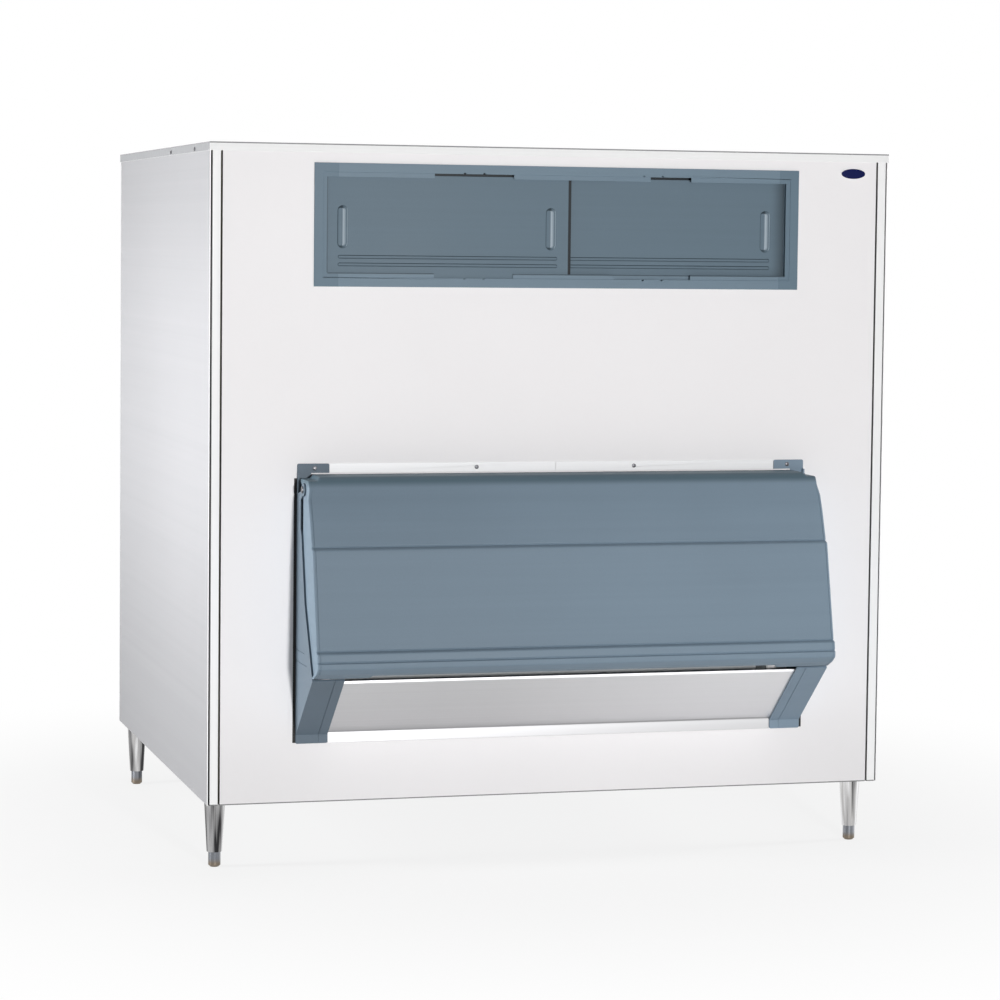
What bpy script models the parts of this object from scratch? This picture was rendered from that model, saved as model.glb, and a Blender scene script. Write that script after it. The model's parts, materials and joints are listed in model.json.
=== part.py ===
"""Ice storage bin on legs, with a flip-up hood and two sliding window doors.

Metres, Z up, X across the width, the front faces -Y. The origin is the middle of the
footprint on the floor. "Reach" below is a distance in front of the front panel's face.
"""
import bpy
import bmesh
from math import cos, hypot, pi, radians, sin, tan
from mathutils import Vector

# Overall sizes
body_width = 1.524
body_depth = 1.2192
body_height = 1.405
leg_height = 0.146
hood_reach = 0.219

# Sheet metal and fits
sheet = 0.0015
pan_return = 0.012
seam = 0.0003
slide_fit = 0.0006
foam_wall = 0.050
floor_foam = 0.060
roof_foam = 0.045
liner_wall = 0.003

# Top cover
cover_overhang_side = 0.002
cover_overhang_front = 0.003
cover_flange = 0.0185
drop_side_margin = 0.229
drop_depth = 0.560
drop_setback = 0.330
trim_wall = 0.002
trim_flange = 0.012
trim_drop = 0.038

# Front corners
corner_gap = 0.0035
skin_edge = 0.0005
post_width = 0.0186
post_gap = 0.004
skin_return = 0.025

# Window frame and its doors
window_left_margin = 0.2225
window_right_margin = 0.2105
window_height = 0.262
window_below_top = 0.040
frame_proud = 0.003
frame_border = 0.0195
frame_lip = 0.0295
lip_set_back = 0.0015
lip_back = 0.0015
channel_outside = 0.013
channel_inside = 0.016
door_thickness = 0.008
track_play = 0.0007
fin_thickness = 0.002
rear_lip_thickness = 0.0025
door_top_gap = 0.0243
door_overlap = 0.0466
door_pull_width = 0.021
door_pull_height = 0.090
door_pull_depth = 0.0038
door_pull_inset = 0.046
door_line_height = 0.0075
door_line_depth = 0.002
door_line_low = 0.0269
door_line_pitch = 0.0162
door_line_inset = 0.036
notch_length = 0.176
left_notch_share = 0.3213
right_notch_share = 0.6902
fin_notch_share = 0.7695
nick_radius = 0.003
nick_pitch = 0.043

# Scoop opening, hood and its brackets, as drops below the hood's top
hood_rise = 0.705
scoop_margin = 0.0775
scoop_top_drop = 0.006
scoop_bottom_drop = 0.551
hood_side_margin = 0.1895
hood_rim = 0.0043
rim_depth = 0.014
hood_wall = 0.004
hood_rear = 0.018
hood_corner_radius = 0.025
end_corner_radius = 0.010
corner_steps = 6
shoulder_drop = 0.008
shoulder_width = 0.018
shoulder_ramp = 0.010
brow_slope = 0.55
brow_inset = 0.1172
brow_drop = 0.024
brow_bow = 0.003
fold_inset = 0.0692
fold_drop = 0.1405
fold_step = 0.010
lower_end_inset = 0.0125
lower_end_drop = 0.3525
rib_step = 0.008
rib_height = 0.015
rib_bulge = 0.002
crease_depth = 0.002
crease_height = 0.003
chin_top_drop = 0.394
chin_middle_inset = 0.017
chin_middle_drop = 0.4035
chin_back_inset = 0.0434
chin_back_drop = 0.4155
finger_inset = 0.1225
finger_raise = 0.006
wall_toe_setback = 0.0256
wall_toe_rise = 0.0015
wall_knee_reach = 0.074
wall_knee_drop = 0.268
wall_hip_drop = 0.122
pivot_reach = 0.060
pivot_drop = 0.029
pin_radius = 0.005
pin_play = 0.0003
pin_head_radius = 0.0075
pin_head = 0.0025
pin_inset = 0.012
cheek_thickness = 0.0037
cheek_edge_reach = 0.0395
cheek_edge_top_drop = 0.051
cheek_edge_low_drop = 0.114
cheek_step = 0.0085
cheek_step_height = 0.010
cheek_knee_reach = 0.085
cheek_knee_drop = 0.268
cheek_toe_setback = 0.003
cheek_toe_rise = 0.003
cheek_neck = 0.013
cheek_neck_drop = 0.040
boss_radius = 0.014
flange_thickness = 0.003
back_flange_width = 0.030
ear_width = 0.0695
ear_height = 0.020
ear_rise = 0.022
leg_plate = 0.004
leg_top_inset = 0.051
leg_top_drop = 0.421
tab_reach = 0.0043
tab_top_drop = 0.5585
tab_height = 0.019
line_groove_inset = 0.0195
line_groove_width = 0.002
line_groove_depth = 0.0012
cheek_groove_drop = 0.372
cheek_groove_reach = 0.088
cheek_groove_pitch = 0.024

# Chute and header strips
chute_gap = 0.0005
chute_side_gap = 0.0088
chute_short = 0.018
chute_lip = 0.006
strip_screw_share = 0.354
ear_screw_inset = 0.038

# Small fasteners and the badge
screw_head_radius = 0.0045
screw_head = 0.0024
screw_shank_radius = 0.0023
screw_play = 0.0003
screw_length = 0.009
cover_screw_drop = 0.012
cover_screw_first = 0.174
cover_screw_second = 0.475
badge_width = 0.059
badge_height = 0.0246
badge_thickness = 0.002
badge_inset = 0.082
badge_drop = 0.0446

# Legs and feet
leg_inset_side = 0.031
leg_inset_front = 0.081
leg_top_radius = 0.023
leg_foot_radius = 0.01675
leg_length = 0.113
stud_radius = 0.008
stud_length = 0.026
socket_plate = 0.050
socket_thickness = 0.004
socket_radius = 0.015
socket_height = 0.034
thread_play = 0.0003
foot_radius = 0.0133
foot_edge = 0.004
stem_radius = 0.006
stem_length = 0.078
stem_bore_spare = 0.010

# Ice gate, its tracks and the drain
gate_overlap = 0.033
gate_thickness = 0.012
gate_height = 0.560
gate_lift = 0.300
gate_hole_width = 0.110
gate_hole_height = 0.034
gate_hole_inset = 0.198
gate_hole_drop = 0.050
track_wall = 0.003
track_grip = 0.030
track_spare = 0.040
drain_radius = 0.012
drain_bore = 0.009
drain_flange_radius = 0.024
drain_flange = 0.003
drain_drop = 0.030
drain_setback = 0.160
strainer_radius = 0.020
strainer_thickness = 0.002
strainer_slot = 0.0015
strainer_slot_pitch = 0.006
strainer_slot_length = 0.022

# Worked-out places
front_y = (hood_reach - body_depth - cover_overhang_front) / 2
rear_y = front_y + body_depth
half_width = body_width / 2
body_bottom = leg_height
body_top = leg_height + body_height
post_outer = half_width - skin_edge - corner_gap
post_inner = post_outer - post_width
panel_half = post_inner - post_gap
cover_under = body_top - sheet
panel_top = cover_under - seam
foam_front = front_y + pan_return + seam
foam_side = half_width - sheet - seam
foam_rear = rear_y - sheet - seam
foam_bottom = body_bottom + sheet + seam
foam_top = cover_under - seam
liner_half = foam_side - foam_wall - seam
liner_front = foam_front + foam_wall
liner_rear = foam_rear - foam_wall
liner_bottom = foam_bottom + floor_foam
liner_top = foam_top - roof_foam
cavity_half = liner_half - liner_wall
cavity_front = liner_front + liner_wall
cavity_rear = liner_rear - liner_wall
cavity_bottom = liner_bottom + liner_wall
cavity_top = liner_top - liner_wall
window_left = window_left_margin - half_width
window_right = half_width - window_right_margin
window_width = window_right - window_left
notch_centres = [window_left + share * window_width for share in (left_notch_share, right_notch_share)]
fin_notch_centre = window_left + fin_notch_share * window_width
window_top = body_top - window_below_top
window_bottom = window_top - window_height
cut_in = channel_outside - slide_fit
track_depth = door_thickness + 2 * track_play
fin_front = lip_back + track_depth
fin_back = fin_front + fin_thickness
rear_lip_front = fin_back + track_depth
rear_lip_back = rear_lip_front + rear_lip_thickness
door_seat = channel_inside + seam
door_height = window_height - door_seat - door_top_gap
door_width = (window_width - 2 * door_seat + door_overlap) / 2
drop_half_width = half_width - drop_side_margin
drop_front = front_y + drop_setback
drop_rear = drop_front + drop_depth
hood_half_width = half_width - hood_side_margin
hood_top = leg_height + hood_rise
scoop_top = hood_top - scoop_top_drop
scoop_bottom = hood_top - scoop_bottom_drop
ear_top = hood_top + ear_rise
tab_top = hood_top - tab_top_drop
tab_bottom = tab_top - tab_height
pivot_height = hood_top - pivot_drop
chin_back = (hood_reach - chin_back_inset, hood_top - chin_back_drop)
wall_toe = (chin_back[0] - wall_toe_setback, chin_back[1] + wall_toe_rise)
leg_plate_top = (hood_reach - leg_top_inset, hood_top - leg_top_drop)
cheek_toe = (leg_plate_top[0] - cheek_toe_setback, leg_plate_top[1] + cheek_toe_rise)
chute_top_reach = leg_plate_top[0] - chute_short
scoop_half_width = hood_half_width - scoop_margin
finger_half_width = hood_half_width - finger_inset
ear_inner = hood_half_width - ear_width
ear_screw_at = hood_half_width - ear_screw_inset
strip_screw_at = strip_screw_share * ear_inner
side_wall_face = hood_half_width - hood_rim
cheek_inner = hood_half_width - cheek_thickness
chute_half_width = cheek_inner - chute_side_gap
gate_half_width = scoop_half_width + gate_overlap
gate_hole_at = gate_half_width - gate_hole_inset
track_height = gate_height + gate_lift + track_spare
screw_hole_radius = screw_shank_radius + screw_play
cover_screw_places = [cover_screw_first, cover_screw_second]
leg_places = [(side, end) for end in ("front", "rear") for side in ("left", "right")]
drain_y = rear_y - drain_setback
pivot = (pivot_reach, pivot_height)
screw_row = ear_top - ear_height / 2
front_screw_places = [-ear_screw_at, -strip_screw_at, strip_screw_at, ear_screw_at]
window_hole_x = (window_left + cut_in, window_right - cut_in)
window_hole_z = (window_bottom + cut_in, window_top - cut_in)
smooth = radians(35)
corner_smooth = radians(12)

colours = {
    "white_coat": ((0.83, 0.82, 0.83), 0.45, 0.0),
    "steel_skin": ((0.62, 0.63, 0.65), 0.38, 1.0),
    "post_metal": ((0.80, 0.80, 0.81), 0.40, 0.6),
    "hood_plastic": ((0.165, 0.222, 0.283), 0.50, 0.0),
    "door_plastic": ((0.136, 0.191, 0.231), 0.50, 0.0),
    "frame_plastic": ((0.195, 0.262, 0.323), 0.50, 0.0),
    "liner_plastic": ((0.75, 0.77, 0.78), 0.35, 0.0),
    "foam_fill": ((0.45, 0.38, 0.24), 0.90, 0.0),
    "gate_board": ((0.70, 0.73, 0.75), 0.45, 0.0),
    "chute_steel": ((0.55, 0.56, 0.57), 0.35, 1.0),
    "leg_metal": ((0.42, 0.41, 0.40), 0.30, 1.0),
    "screw_steel": ((0.50, 0.50, 0.50), 0.30, 1.0),
    "badge_blue": ((0.010, 0.030, 0.160), 0.25, 0.0),
    "drain_plastic": ((0.60, 0.61, 0.62), 0.40, 0.0),
}


def clear_scene():
    for item in list(bpy.data.objects):
        bpy.data.objects.remove(item, do_unlink=True)


def material(slot):
    made = bpy.data.materials.get(slot)
    if made:
        return made
    colour, roughness, metallic = colours[slot]
    made = bpy.data.materials.new(slot)
    made.use_nodes = True
    shader = made.node_tree.nodes["Principled BSDF"]
    shader.inputs["Base Color"].default_value = (*colour, 1.0)
    shader.inputs["Roughness"].default_value = roughness
    shader.inputs["Metallic"].default_value = metallic
    made.diffuse_color = (*colour, 1.0)
    return made


def solid(vertices, faces):
    """A loose object with closed faces turned outwards."""
    mesh = bpy.data.meshes.new("raw")
    mesh.from_pydata([Vector(v) for v in vertices], [], faces)
    work = bmesh.new()
    work.from_mesh(mesh)
    bmesh.ops.recalc_face_normals(work, faces=work.faces)
    work.to_mesh(mesh)
    work.free()
    made = bpy.data.objects.new("raw", mesh)
    bpy.context.scene.collection.objects.link(made)
    return made


def loft(rings):
    """Closed solid through rings of equally many points, capped at both ends."""
    count = len(rings[0])
    vertices = [point for ring in rings for point in ring]
    faces = [tuple(range(count)), tuple(range(len(vertices) - count, len(vertices)))]
    for level in range(len(rings) - 1):
        low = level * count
        high = low + count
        for i in range(count):
            j = (i + 1) % count
            faces.append((low + i, low + j, high + j, high + i))
    return solid(vertices, faces)


def box(x_span, y_span, z_span):
    ring = [(x_span[0], y_span[0]), (x_span[1], y_span[0]),
            (x_span[1], y_span[1]), (x_span[0], y_span[1])]
    return loft([[(x, y, z) for x, y in ring] for z in z_span])


def across(outline, x_span):
    """Prism along X of an outline in (reach, height)."""
    return loft([[(x, front_y - reach, z) for reach, z in outline] for x in x_span])


def facing(outline, y_span):
    """Prism along Y of an outline in (x, z)."""
    return loft([[(x, y, z) for x, z in outline] for y in y_span])


def circle(centre, radius, count):
    return [(centre[0] + radius * cos(2 * pi * i / count),
             centre[1] + radius * sin(2 * pi * i / count)) for i in range(count)]


def stadium(centre, width, height, count=8):
    """Outline with round ends along its longer side."""
    radius = min(width, height) / 2
    reach_x = width / 2 - radius
    reach_z = height / 2 - radius
    points = []
    for i in range(4 * count):
        angle = 2 * pi * (i + 0.5) / (4 * count)
        side_x = reach_x if cos(angle) > 0 else -reach_x
        side_z = reach_z if sin(angle) > 0 else -reach_z
        points.append((centre[0] + side_x + radius * cos(angle),
                       centre[1] + side_z + radius * sin(angle)))
    return points


def turned(centre, levels, count=32):
    """Upright round solid at (x, y) through (radius, z) levels."""
    rings = [[(x, y, z) for x, y in circle(centre, radius, count)] for radius, z in levels]
    return loft(rings)


def rod_x(centre, levels, count=24):
    """Round solid along X at (reach, height) through (radius, x) levels."""
    rings = [[(x, front_y - reach, z) for reach, z in circle(centre, radius, count)]
             for radius, x in levels]
    return loft(rings)


def rod_y(centre, levels, count=24):
    """Round solid along Y at (x, z) through (radius, y) levels."""
    rings = [[(x, y, z) for x, z in circle(centre, radius, count)] for radius, y in levels]
    return loft(rings)


def combine(base, tools, operation):
    """Apply Boolean steps and remove the tools."""
    for tool in tools:
        tool.hide_render = True
        tool.display_type = "WIRE"
        step = base.modifiers.new("step", "BOOLEAN")
        step.operation = operation
        step.solver = "EXACT"
        step.object = tool
    graph = bpy.context.evaluated_depsgraph_get()
    graph.update()
    mesh = bpy.data.meshes.new_from_object(base.evaluated_get(graph))
    base.modifiers.clear()
    base.data = mesh
    for tool in tools:
        bpy.data.objects.remove(tool, do_unlink=True)
    return base


def join(base, *tools):
    return combine(base, tools, "UNION")


def cut(base, *tools):
    return combine(base, tools, "DIFFERENCE")


def finish(name, made, slot, origin=(0.0, 0.0, 0.0), smooth_angle=None):
    """Name the object, give it its material and put its origin in place."""
    made.name = name
    made.data.name = name
    place = Vector(origin)
    for vertex in made.data.vertices:
        vertex.co -= place
    made.location = place
    made.data.materials.clear()
    made.data.materials.append(material(slot))
    if smooth_angle:
        made.data.shade_smooth()
        made.data.set_sharp_from_angle(angle=smooth_angle)
    made.data.update()
    return made


def mirrored(outline_span, side):
    """An X span on the right side, turned over for the left side."""
    low, high = outline_span
    return (low, high) if side == "right" else (-high, -low)


def sign_of(side):
    return 1 if side == "right" else -1


def offset_path(points, distance):
    """The path moved to its right by a distance, corners mitred."""
    moved = []
    for i, point in enumerate(points):
        before = points[max(i - 1, 0)]
        after = points[min(i + 1, len(points) - 1)]
        normals = []
        for start, end in ((before, point), (point, after)):
            run = (end[0] - start[0], end[1] - start[1])
            length = hypot(*run)
            if length:
                normals.append((run[1] / length, -run[0] / length))
        if len(normals) == 1:
            normals.append(normals[0])
        mid = (normals[0][0] + normals[1][0], normals[0][1] + normals[1][1])
        scale = 2 / (mid[0] ** 2 + mid[1] ** 2)
        moved.append((point[0] + distance * mid[0] * scale, point[1] + distance * mid[1] * scale))
    return moved


def hood_lean():
    """Turn between the hood's flat top and its upper face."""
    return Vector((1.0, 0.0)).angle(Vector((brow_slope, 1.0)))


def stepped(start, step, creased):
    """A step outwards below a point, under a crease where asked."""
    crease = [(start[0] - crease_depth, start[1] - crease_height)] if creased else []
    return crease + [(start[0] + step, start[1] - crease_height - step / 2)]


def hood_profile(drop, radius, creased):
    """Front of the hood from the top's rear edge down to the back of the chin."""
    top = hood_top - drop
    lean = hood_lean()
    brow = (hood_reach - brow_inset, hood_top - brow_drop)
    sharp = brow[0] - brow_slope * (top - brow[1])
    centre = (sharp - radius * tan(lean / 2), top - radius)
    points = [(hood_rear, top)]
    for i in range(corner_steps + 1):
        angle = pi / 2 - lean * i / corner_steps
        points.append((centre[0] + radius * cos(angle), centre[1] + radius * sin(angle)))
    fold = (hood_reach - fold_inset, hood_top - fold_drop)
    middle = ((brow[0] + fold[0]) / 2 + brow_bow, (brow[1] + fold[1]) / 2)
    points += [brow, middle, fold]
    points += stepped(fold, fold_step, creased)
    lower_end = (hood_reach - lower_end_inset, hood_top - lower_end_drop)
    points.append(lower_end)
    points += stepped(lower_end, rib_step, creased)
    if creased:
        rib_end = (points[-1][0] + rib_bulge, points[-1][1] - rib_height)
        points.append(rib_end)
        points += stepped(rib_end, hood_reach - rib_end[0], creased)
    chin_top = hood_top - chin_top_drop
    points += [(hood_reach, chin_top + crease_height), (hood_reach - crease_depth, chin_top)]
    points.append((hood_reach - chin_middle_inset, hood_top - chin_middle_drop))
    points.append(chin_back)
    return points


def hood_ring(x, dropped):
    """Outer outline of the hood at x: the front profile and the side wall's back."""
    drop = shoulder_drop if dropped else 0.0
    radius = end_corner_radius if dropped else hood_corner_radius
    heel = pivot_reach - boss_radius
    back = [wall_toe, (wall_knee_reach, hood_top - wall_knee_drop), (heel, hood_top - wall_hip_drop),
            (heel, pivot_height), (hood_rear, hood_top - drop - 2 * hood_wall)]
    outline = hood_profile(drop, radius, True) + back
    return [(x, front_y - reach, z) for reach, z in outline]


def hollow_ring(x, dropped):
    """Outline of the hood's inside at x, left open at the back."""
    drop = shoulder_drop if dropped else 0.0
    radius = end_corner_radius if dropped else hood_corner_radius
    outline = offset_path(hood_profile(drop, radius, False), hood_wall)
    outline[0] = (-hood_rear, outline[0][1])
    outline.append((-hood_rear, outline[-1][1]))
    inner_x = x - hood_wall if x > 0 else x + hood_wall
    return [(inner_x, front_y - reach, z) for reach, z in outline]


def build_hood():
    low = side_wall_face - shoulder_width
    high = low - shoulder_ramp
    stations = [(-side_wall_face, True), (-low, True), (-high, False),
                (high, False), (low, True), (side_wall_face, True)]
    shell = loft([hood_ring(x, dropped) for x, dropped in stations])
    face = hood_profile(shoulder_drop, end_corner_radius, True)
    band = [point for point in face[:-1] if point[1] <= hood_top - brow_drop]
    rim = [(reach - seam, z) for reach, z in band]
    rim += [(reach - rim_depth, z) for reach, z in reversed(band)]
    root = side_wall_face - hood_wall / 2
    shell = join(shell, across(rim, (root, hood_half_width)),
                 across(rim, (-hood_half_width, -root)))
    shell = cut(shell, loft([hollow_ring(x, dropped) for x, dropped in stations]))
    finger_top = chin_back[1] + finger_raise
    finger = [(0.0, 0.0), (body_depth, 0.0), (body_depth, finger_top), (0.0, finger_top)]
    hole = pin_radius + pin_play
    shell = cut(shell, rod_x(pivot, [(hole, -half_width), (hole, half_width)]),
                across(finger, (-finger_half_width, finger_half_width)))
    origin = (0.0, front_y - pivot_reach, pivot_height)
    return finish("hood_door", shell, "hood_plastic", origin, corner_smooth)


def leg_face():
    return [(tab_reach, tab_bottom), (tab_reach, tab_top), leg_plate_top]


def build_bracket(side):
    """Ear, cheek, back flange, sloping leg and foot tab in one moulding."""
    thin = mirrored((cheek_inner, hood_half_width), side)
    ear_bottom = ear_top - ear_height
    neck_height = hood_top - cheek_neck_drop
    cheek = [(seam, ear_top), (flange_thickness, ear_top), (flange_thickness, ear_bottom),
             (cheek_neck, ear_bottom), (cheek_neck, neck_height),
             (pivot_reach - boss_radius, neck_height + boss_radius / 2), pivot,
             (pivot_reach - boss_radius / 2, pivot_height - boss_radius)]
    edge_low = hood_top - cheek_edge_low_drop
    cheek += [(cheek_edge_reach, hood_top - cheek_edge_top_drop), (cheek_edge_reach, edge_low),
              (cheek_edge_reach + cheek_step, edge_low - cheek_step_height),
              (cheek_knee_reach, hood_top - cheek_knee_drop), cheek_toe, leg_plate_top,
              (tab_reach, tab_top), (tab_reach, tab_bottom), (seam, tab_bottom)]
    leg = leg_face() + list(reversed(offset_path(leg_face(), -leg_plate)))
    inner = hood_half_width - back_flange_width
    flange = [(seam, tab_bottom), (flange_thickness, tab_bottom),
              (flange_thickness, ear_top), (seam, ear_top)]
    ear = [(seam, ear_bottom), (flange_thickness, ear_bottom),
           (flange_thickness, ear_top), (seam, ear_top)]
    made = join(across(cheek, thin),
                rod_x(pivot, [(boss_radius, x) for x in thin]),
                across(leg, mirrored((ear_inner, hood_half_width), side)),
                across(flange, mirrored((inner, hood_half_width), side)),
                across(ear, mirrored((ear_inner, hood_half_width), side)))
    hole = pin_radius + pin_play
    tools = [rod_x(pivot, [(hole, x) for x in mirrored((ear_inner, half_width), side)])]
    tools.append(rod_y((sign_of(side) * ear_screw_at, screw_row),
                       [(screw_hole_radius, front_y - pan_return), (screw_hole_radius, front_y)]))
    shallow = offset_path(leg_face(), -line_groove_depth)
    proud = offset_path(leg_face(), line_groove_depth)
    line = shallow + list(reversed(proud))
    line_at = ear_inner + line_groove_inset
    tools.append(across(line, mirrored((line_at, line_at + line_groove_width), side)))
    skin = mirrored((hood_half_width - line_groove_depth, hood_half_width + sheet), side)
    for i in range(2):
        reach = cheek_groove_reach + i * cheek_groove_pitch
        high = hood_top - cheek_groove_drop - i * cheek_groove_pitch
        low = high - line_groove_width
        tools.append(across([(flange_thickness, low), (reach, low), (reach, high),
                             (flange_thickness, high)], skin))
    return finish("hood_bracket_" + side, cut(made, *tools), "hood_plastic")


def build_pin(side):
    sign = sign_of(side)
    start = sign * (side_wall_face - hood_wall - pin_inset)
    shoulder = sign * (hood_half_width + seam)
    end = shoulder + sign * pin_head
    levels = [(pin_radius, start), (pin_radius, shoulder), (pin_head_radius, shoulder),
              (pin_head_radius, end)]
    return finish("hinge_pin_" + side, rod_x(pivot, levels), "screw_steel",
                  smooth_angle=smooth)


def chute_point(reach):
    """Point on the chute's front, a gap behind the back of the leg plates."""
    run = Vector((leg_plate_top[0] - tab_reach, leg_plate_top[1] - tab_top)).normalized()
    inward = Vector((-run.y, run.x))
    start = Vector((tab_reach, tab_top)) + inward * (leg_plate + chute_gap)
    return (reach, start.y + run.y * (reach - start.x) / run.x)


def sheet_outline(path):
    return path + list(reversed(offset_path(path, -sheet)))


def build_chute():
    top = chute_point(chute_top_reach)
    lip = (top[0], top[1] + chute_lip)
    narrow = [(seam + sheet, tab_bottom), chute_point(seam + sheet), top, lip]
    wide = [chute_point(tab_reach + leg_plate), top, lip]
    narrow_half = ear_inner - 2 * seam
    made = join(across(sheet_outline(narrow), (-narrow_half, narrow_half)),
                across(sheet_outline(wide), (-chute_half_width, chute_half_width)))
    return finish("ice_chute", made, "chute_steel")


def build_header_strip(side):
    x_span = mirrored((seam, ear_inner - seam), side)
    y_span = (front_y - seam - sheet, front_y - seam)
    made = box(x_span, y_span, (ear_top - ear_height, ear_top))
    hole = rod_y((sign_of(side) * strip_screw_at, screw_row),
                 [(screw_hole_radius, y_span[0] - sheet), (screw_hole_radius, front_y + sheet)])
    return finish("header_strip_" + side, cut(made, hole), "chute_steel")


def build_front_panel():
    y_span = (front_y, front_y + pan_return)
    made = box((-panel_half, panel_half), y_span, (body_bottom, panel_top))
    inside = panel_half - sheet
    tools = [box((-inside, inside), (front_y + sheet, foam_front + sheet),
                 (body_bottom + sheet, panel_top - sheet))]
    through = (front_y - sheet, foam_front + sheet)
    tools.append(box(window_hole_x, through, window_hole_z))
    grow = liner_wall + seam
    tools.append(box((-scoop_half_width - grow, scoop_half_width + grow), through,
                     (scoop_bottom - grow, scoop_top + grow)))
    for x in front_screw_places:
        tools.append(rod_y((x, screw_row), [(screw_hole_radius, y) for y in through]))
    return finish("front_panel", cut(made, *tools), "white_coat")


def build_side_panel(side):
    skin = box(mirrored((half_width - sheet, half_width), side), (front_y, rear_y),
               (body_bottom, panel_top))
    turn = box(mirrored((half_width - skin_return, half_width), side),
               (rear_y - sheet, rear_y), (body_bottom, panel_top))
    made = join(skin, turn)
    x_span = mirrored((half_width - skin_return, half_width + sheet), side)
    tools = []
    for place in cover_screw_places:
        axis = (-place, body_top - cover_screw_drop)
        tools.append(rod_x(axis, [(screw_hole_radius, x) for x in x_span]))
    return finish("side_panel_" + side, cut(made, *tools), "steel_skin")


def build_corner_post(side):
    low, high = mirrored((post_inner, post_outer), side)
    back = front_y + pan_return
    outline = [(low, front_y), (high, front_y), (high, back), (high - sheet, back),
               (high - sheet, front_y + sheet), (low + sheet, front_y + sheet),
               (low + sheet, back), (low, back)]
    made = loft([[(x, y, z) for x, y in outline] for z in (body_bottom, panel_top)])
    return finish("corner_post_" + side, made, "post_metal")


def build_rear_panel():
    reach = half_width - skin_return - slide_fit
    made = box((-reach, reach), (rear_y - sheet, rear_y), (body_bottom, panel_top))
    return finish("rear_panel", made, "steel_skin")


def build_base_pan():
    made = box((-foam_side, foam_side), (foam_front, foam_rear),
               (body_bottom, body_bottom + sheet))
    z_span = (body_bottom - sheet, body_bottom + 2 * sheet)
    tools = []
    for side, end in leg_places:
        hole = stud_radius + slide_fit
        tools.append(turned(leg_centre(side, end), [(hole, z) for z in z_span]))
    hole = drain_radius + slide_fit
    tools.append(turned((0.0, drain_y), [(hole, z) for z in z_span]))
    return finish("base_pan", cut(made, *tools), "steel_skin")


def drop_span(grow):
    """X and Y spans of the drop opening, grown on every side."""
    reach = drop_half_width + grow
    return (-reach, reach), (drop_front - grow, drop_rear + grow)


def build_top_cover():
    reach = half_width + cover_overhang_side
    made = box((-reach, reach), (front_y - cover_overhang_front, rear_y + cover_overhang_front),
               (body_top - cover_flange, body_top))
    inside = reach - sheet
    tools = [box((-inside, inside),
                 (front_y - cover_overhang_front + sheet, rear_y + cover_overhang_front - sheet),
                 (body_bottom, cover_under))]
    tools.append(box(*drop_span(0.0), (body_bottom, body_top + sheet)))
    x_ends = (-half_width - pan_return, half_width + pan_return)
    for place in cover_screw_places:
        axis = (-place, body_top - cover_screw_drop)
        tools.append(rod_x(axis, [(screw_hole_radius, x) for x in x_ends]))
    return finish("top_cover", cut(made, *tools), "steel_skin")


def build_drop_trim():
    """Ring that lines the drop opening and hangs from a flange under the cover."""
    flange_top = cover_under - seam
    made = box(*drop_span(-seam), (cover_under - trim_drop, body_top))
    flange = box(*drop_span(trim_flange), (flange_top - trim_wall, flange_top))
    made = join(made, flange)
    made = cut(made, box(*drop_span(-seam - trim_wall), (body_bottom, body_top + sheet)))
    return finish("drop_opening_trim", made, "liner_plastic")


def liner_parts(grow):
    """The liner's room and its three sleeves as solids, grown outwards."""
    room_half = cavity_half + grow
    x_scoop = (-scoop_half_width - grow, scoop_half_width + grow)
    window_x = (window_hole_x[0] - grow, window_hole_x[1] + grow)
    window_z = (window_hole_z[0] - grow, window_hole_z[1] + grow)
    sleeve_top = cover_under - trim_wall - 2 * seam
    reach = cavity_front + liner_wall
    return [box((-room_half, room_half), (cavity_front - grow, cavity_rear + grow),
                (cavity_bottom - grow, cavity_top + grow)),
            box(x_scoop, (front_y + seam, reach), (scoop_bottom - grow, scoop_top + grow)),
            box(window_x, (front_y + sheet + seam, reach), window_z),
            box(*drop_span(grow), (cavity_top - liner_wall, sleeve_top))]


def build_liner():
    outside = liner_parts(liner_wall)
    made = join(outside[0], *outside[1:])
    inside = liner_parts(0.0)
    room = inside[0]
    beyond = sheet
    x_scoop = (-scoop_half_width, scoop_half_width)
    for sleeve in inside[1:]:
        bpy.data.objects.remove(sleeve, do_unlink=True)
    tools = [room,
             box(x_scoop, (front_y - beyond, cavity_front + beyond), (scoop_bottom, scoop_top)),
             box(window_hole_x, (front_y - beyond, cavity_front + beyond), window_hole_z),
             box(*drop_span(0.0), (cavity_top - beyond, body_top))]
    hole = drain_radius + slide_fit
    tools.append(turned((0.0, drain_y), [(hole, body_bottom), (hole, cavity_bottom + beyond)]))
    return finish("liner", cut(made, *tools), "liner_plastic")


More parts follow.
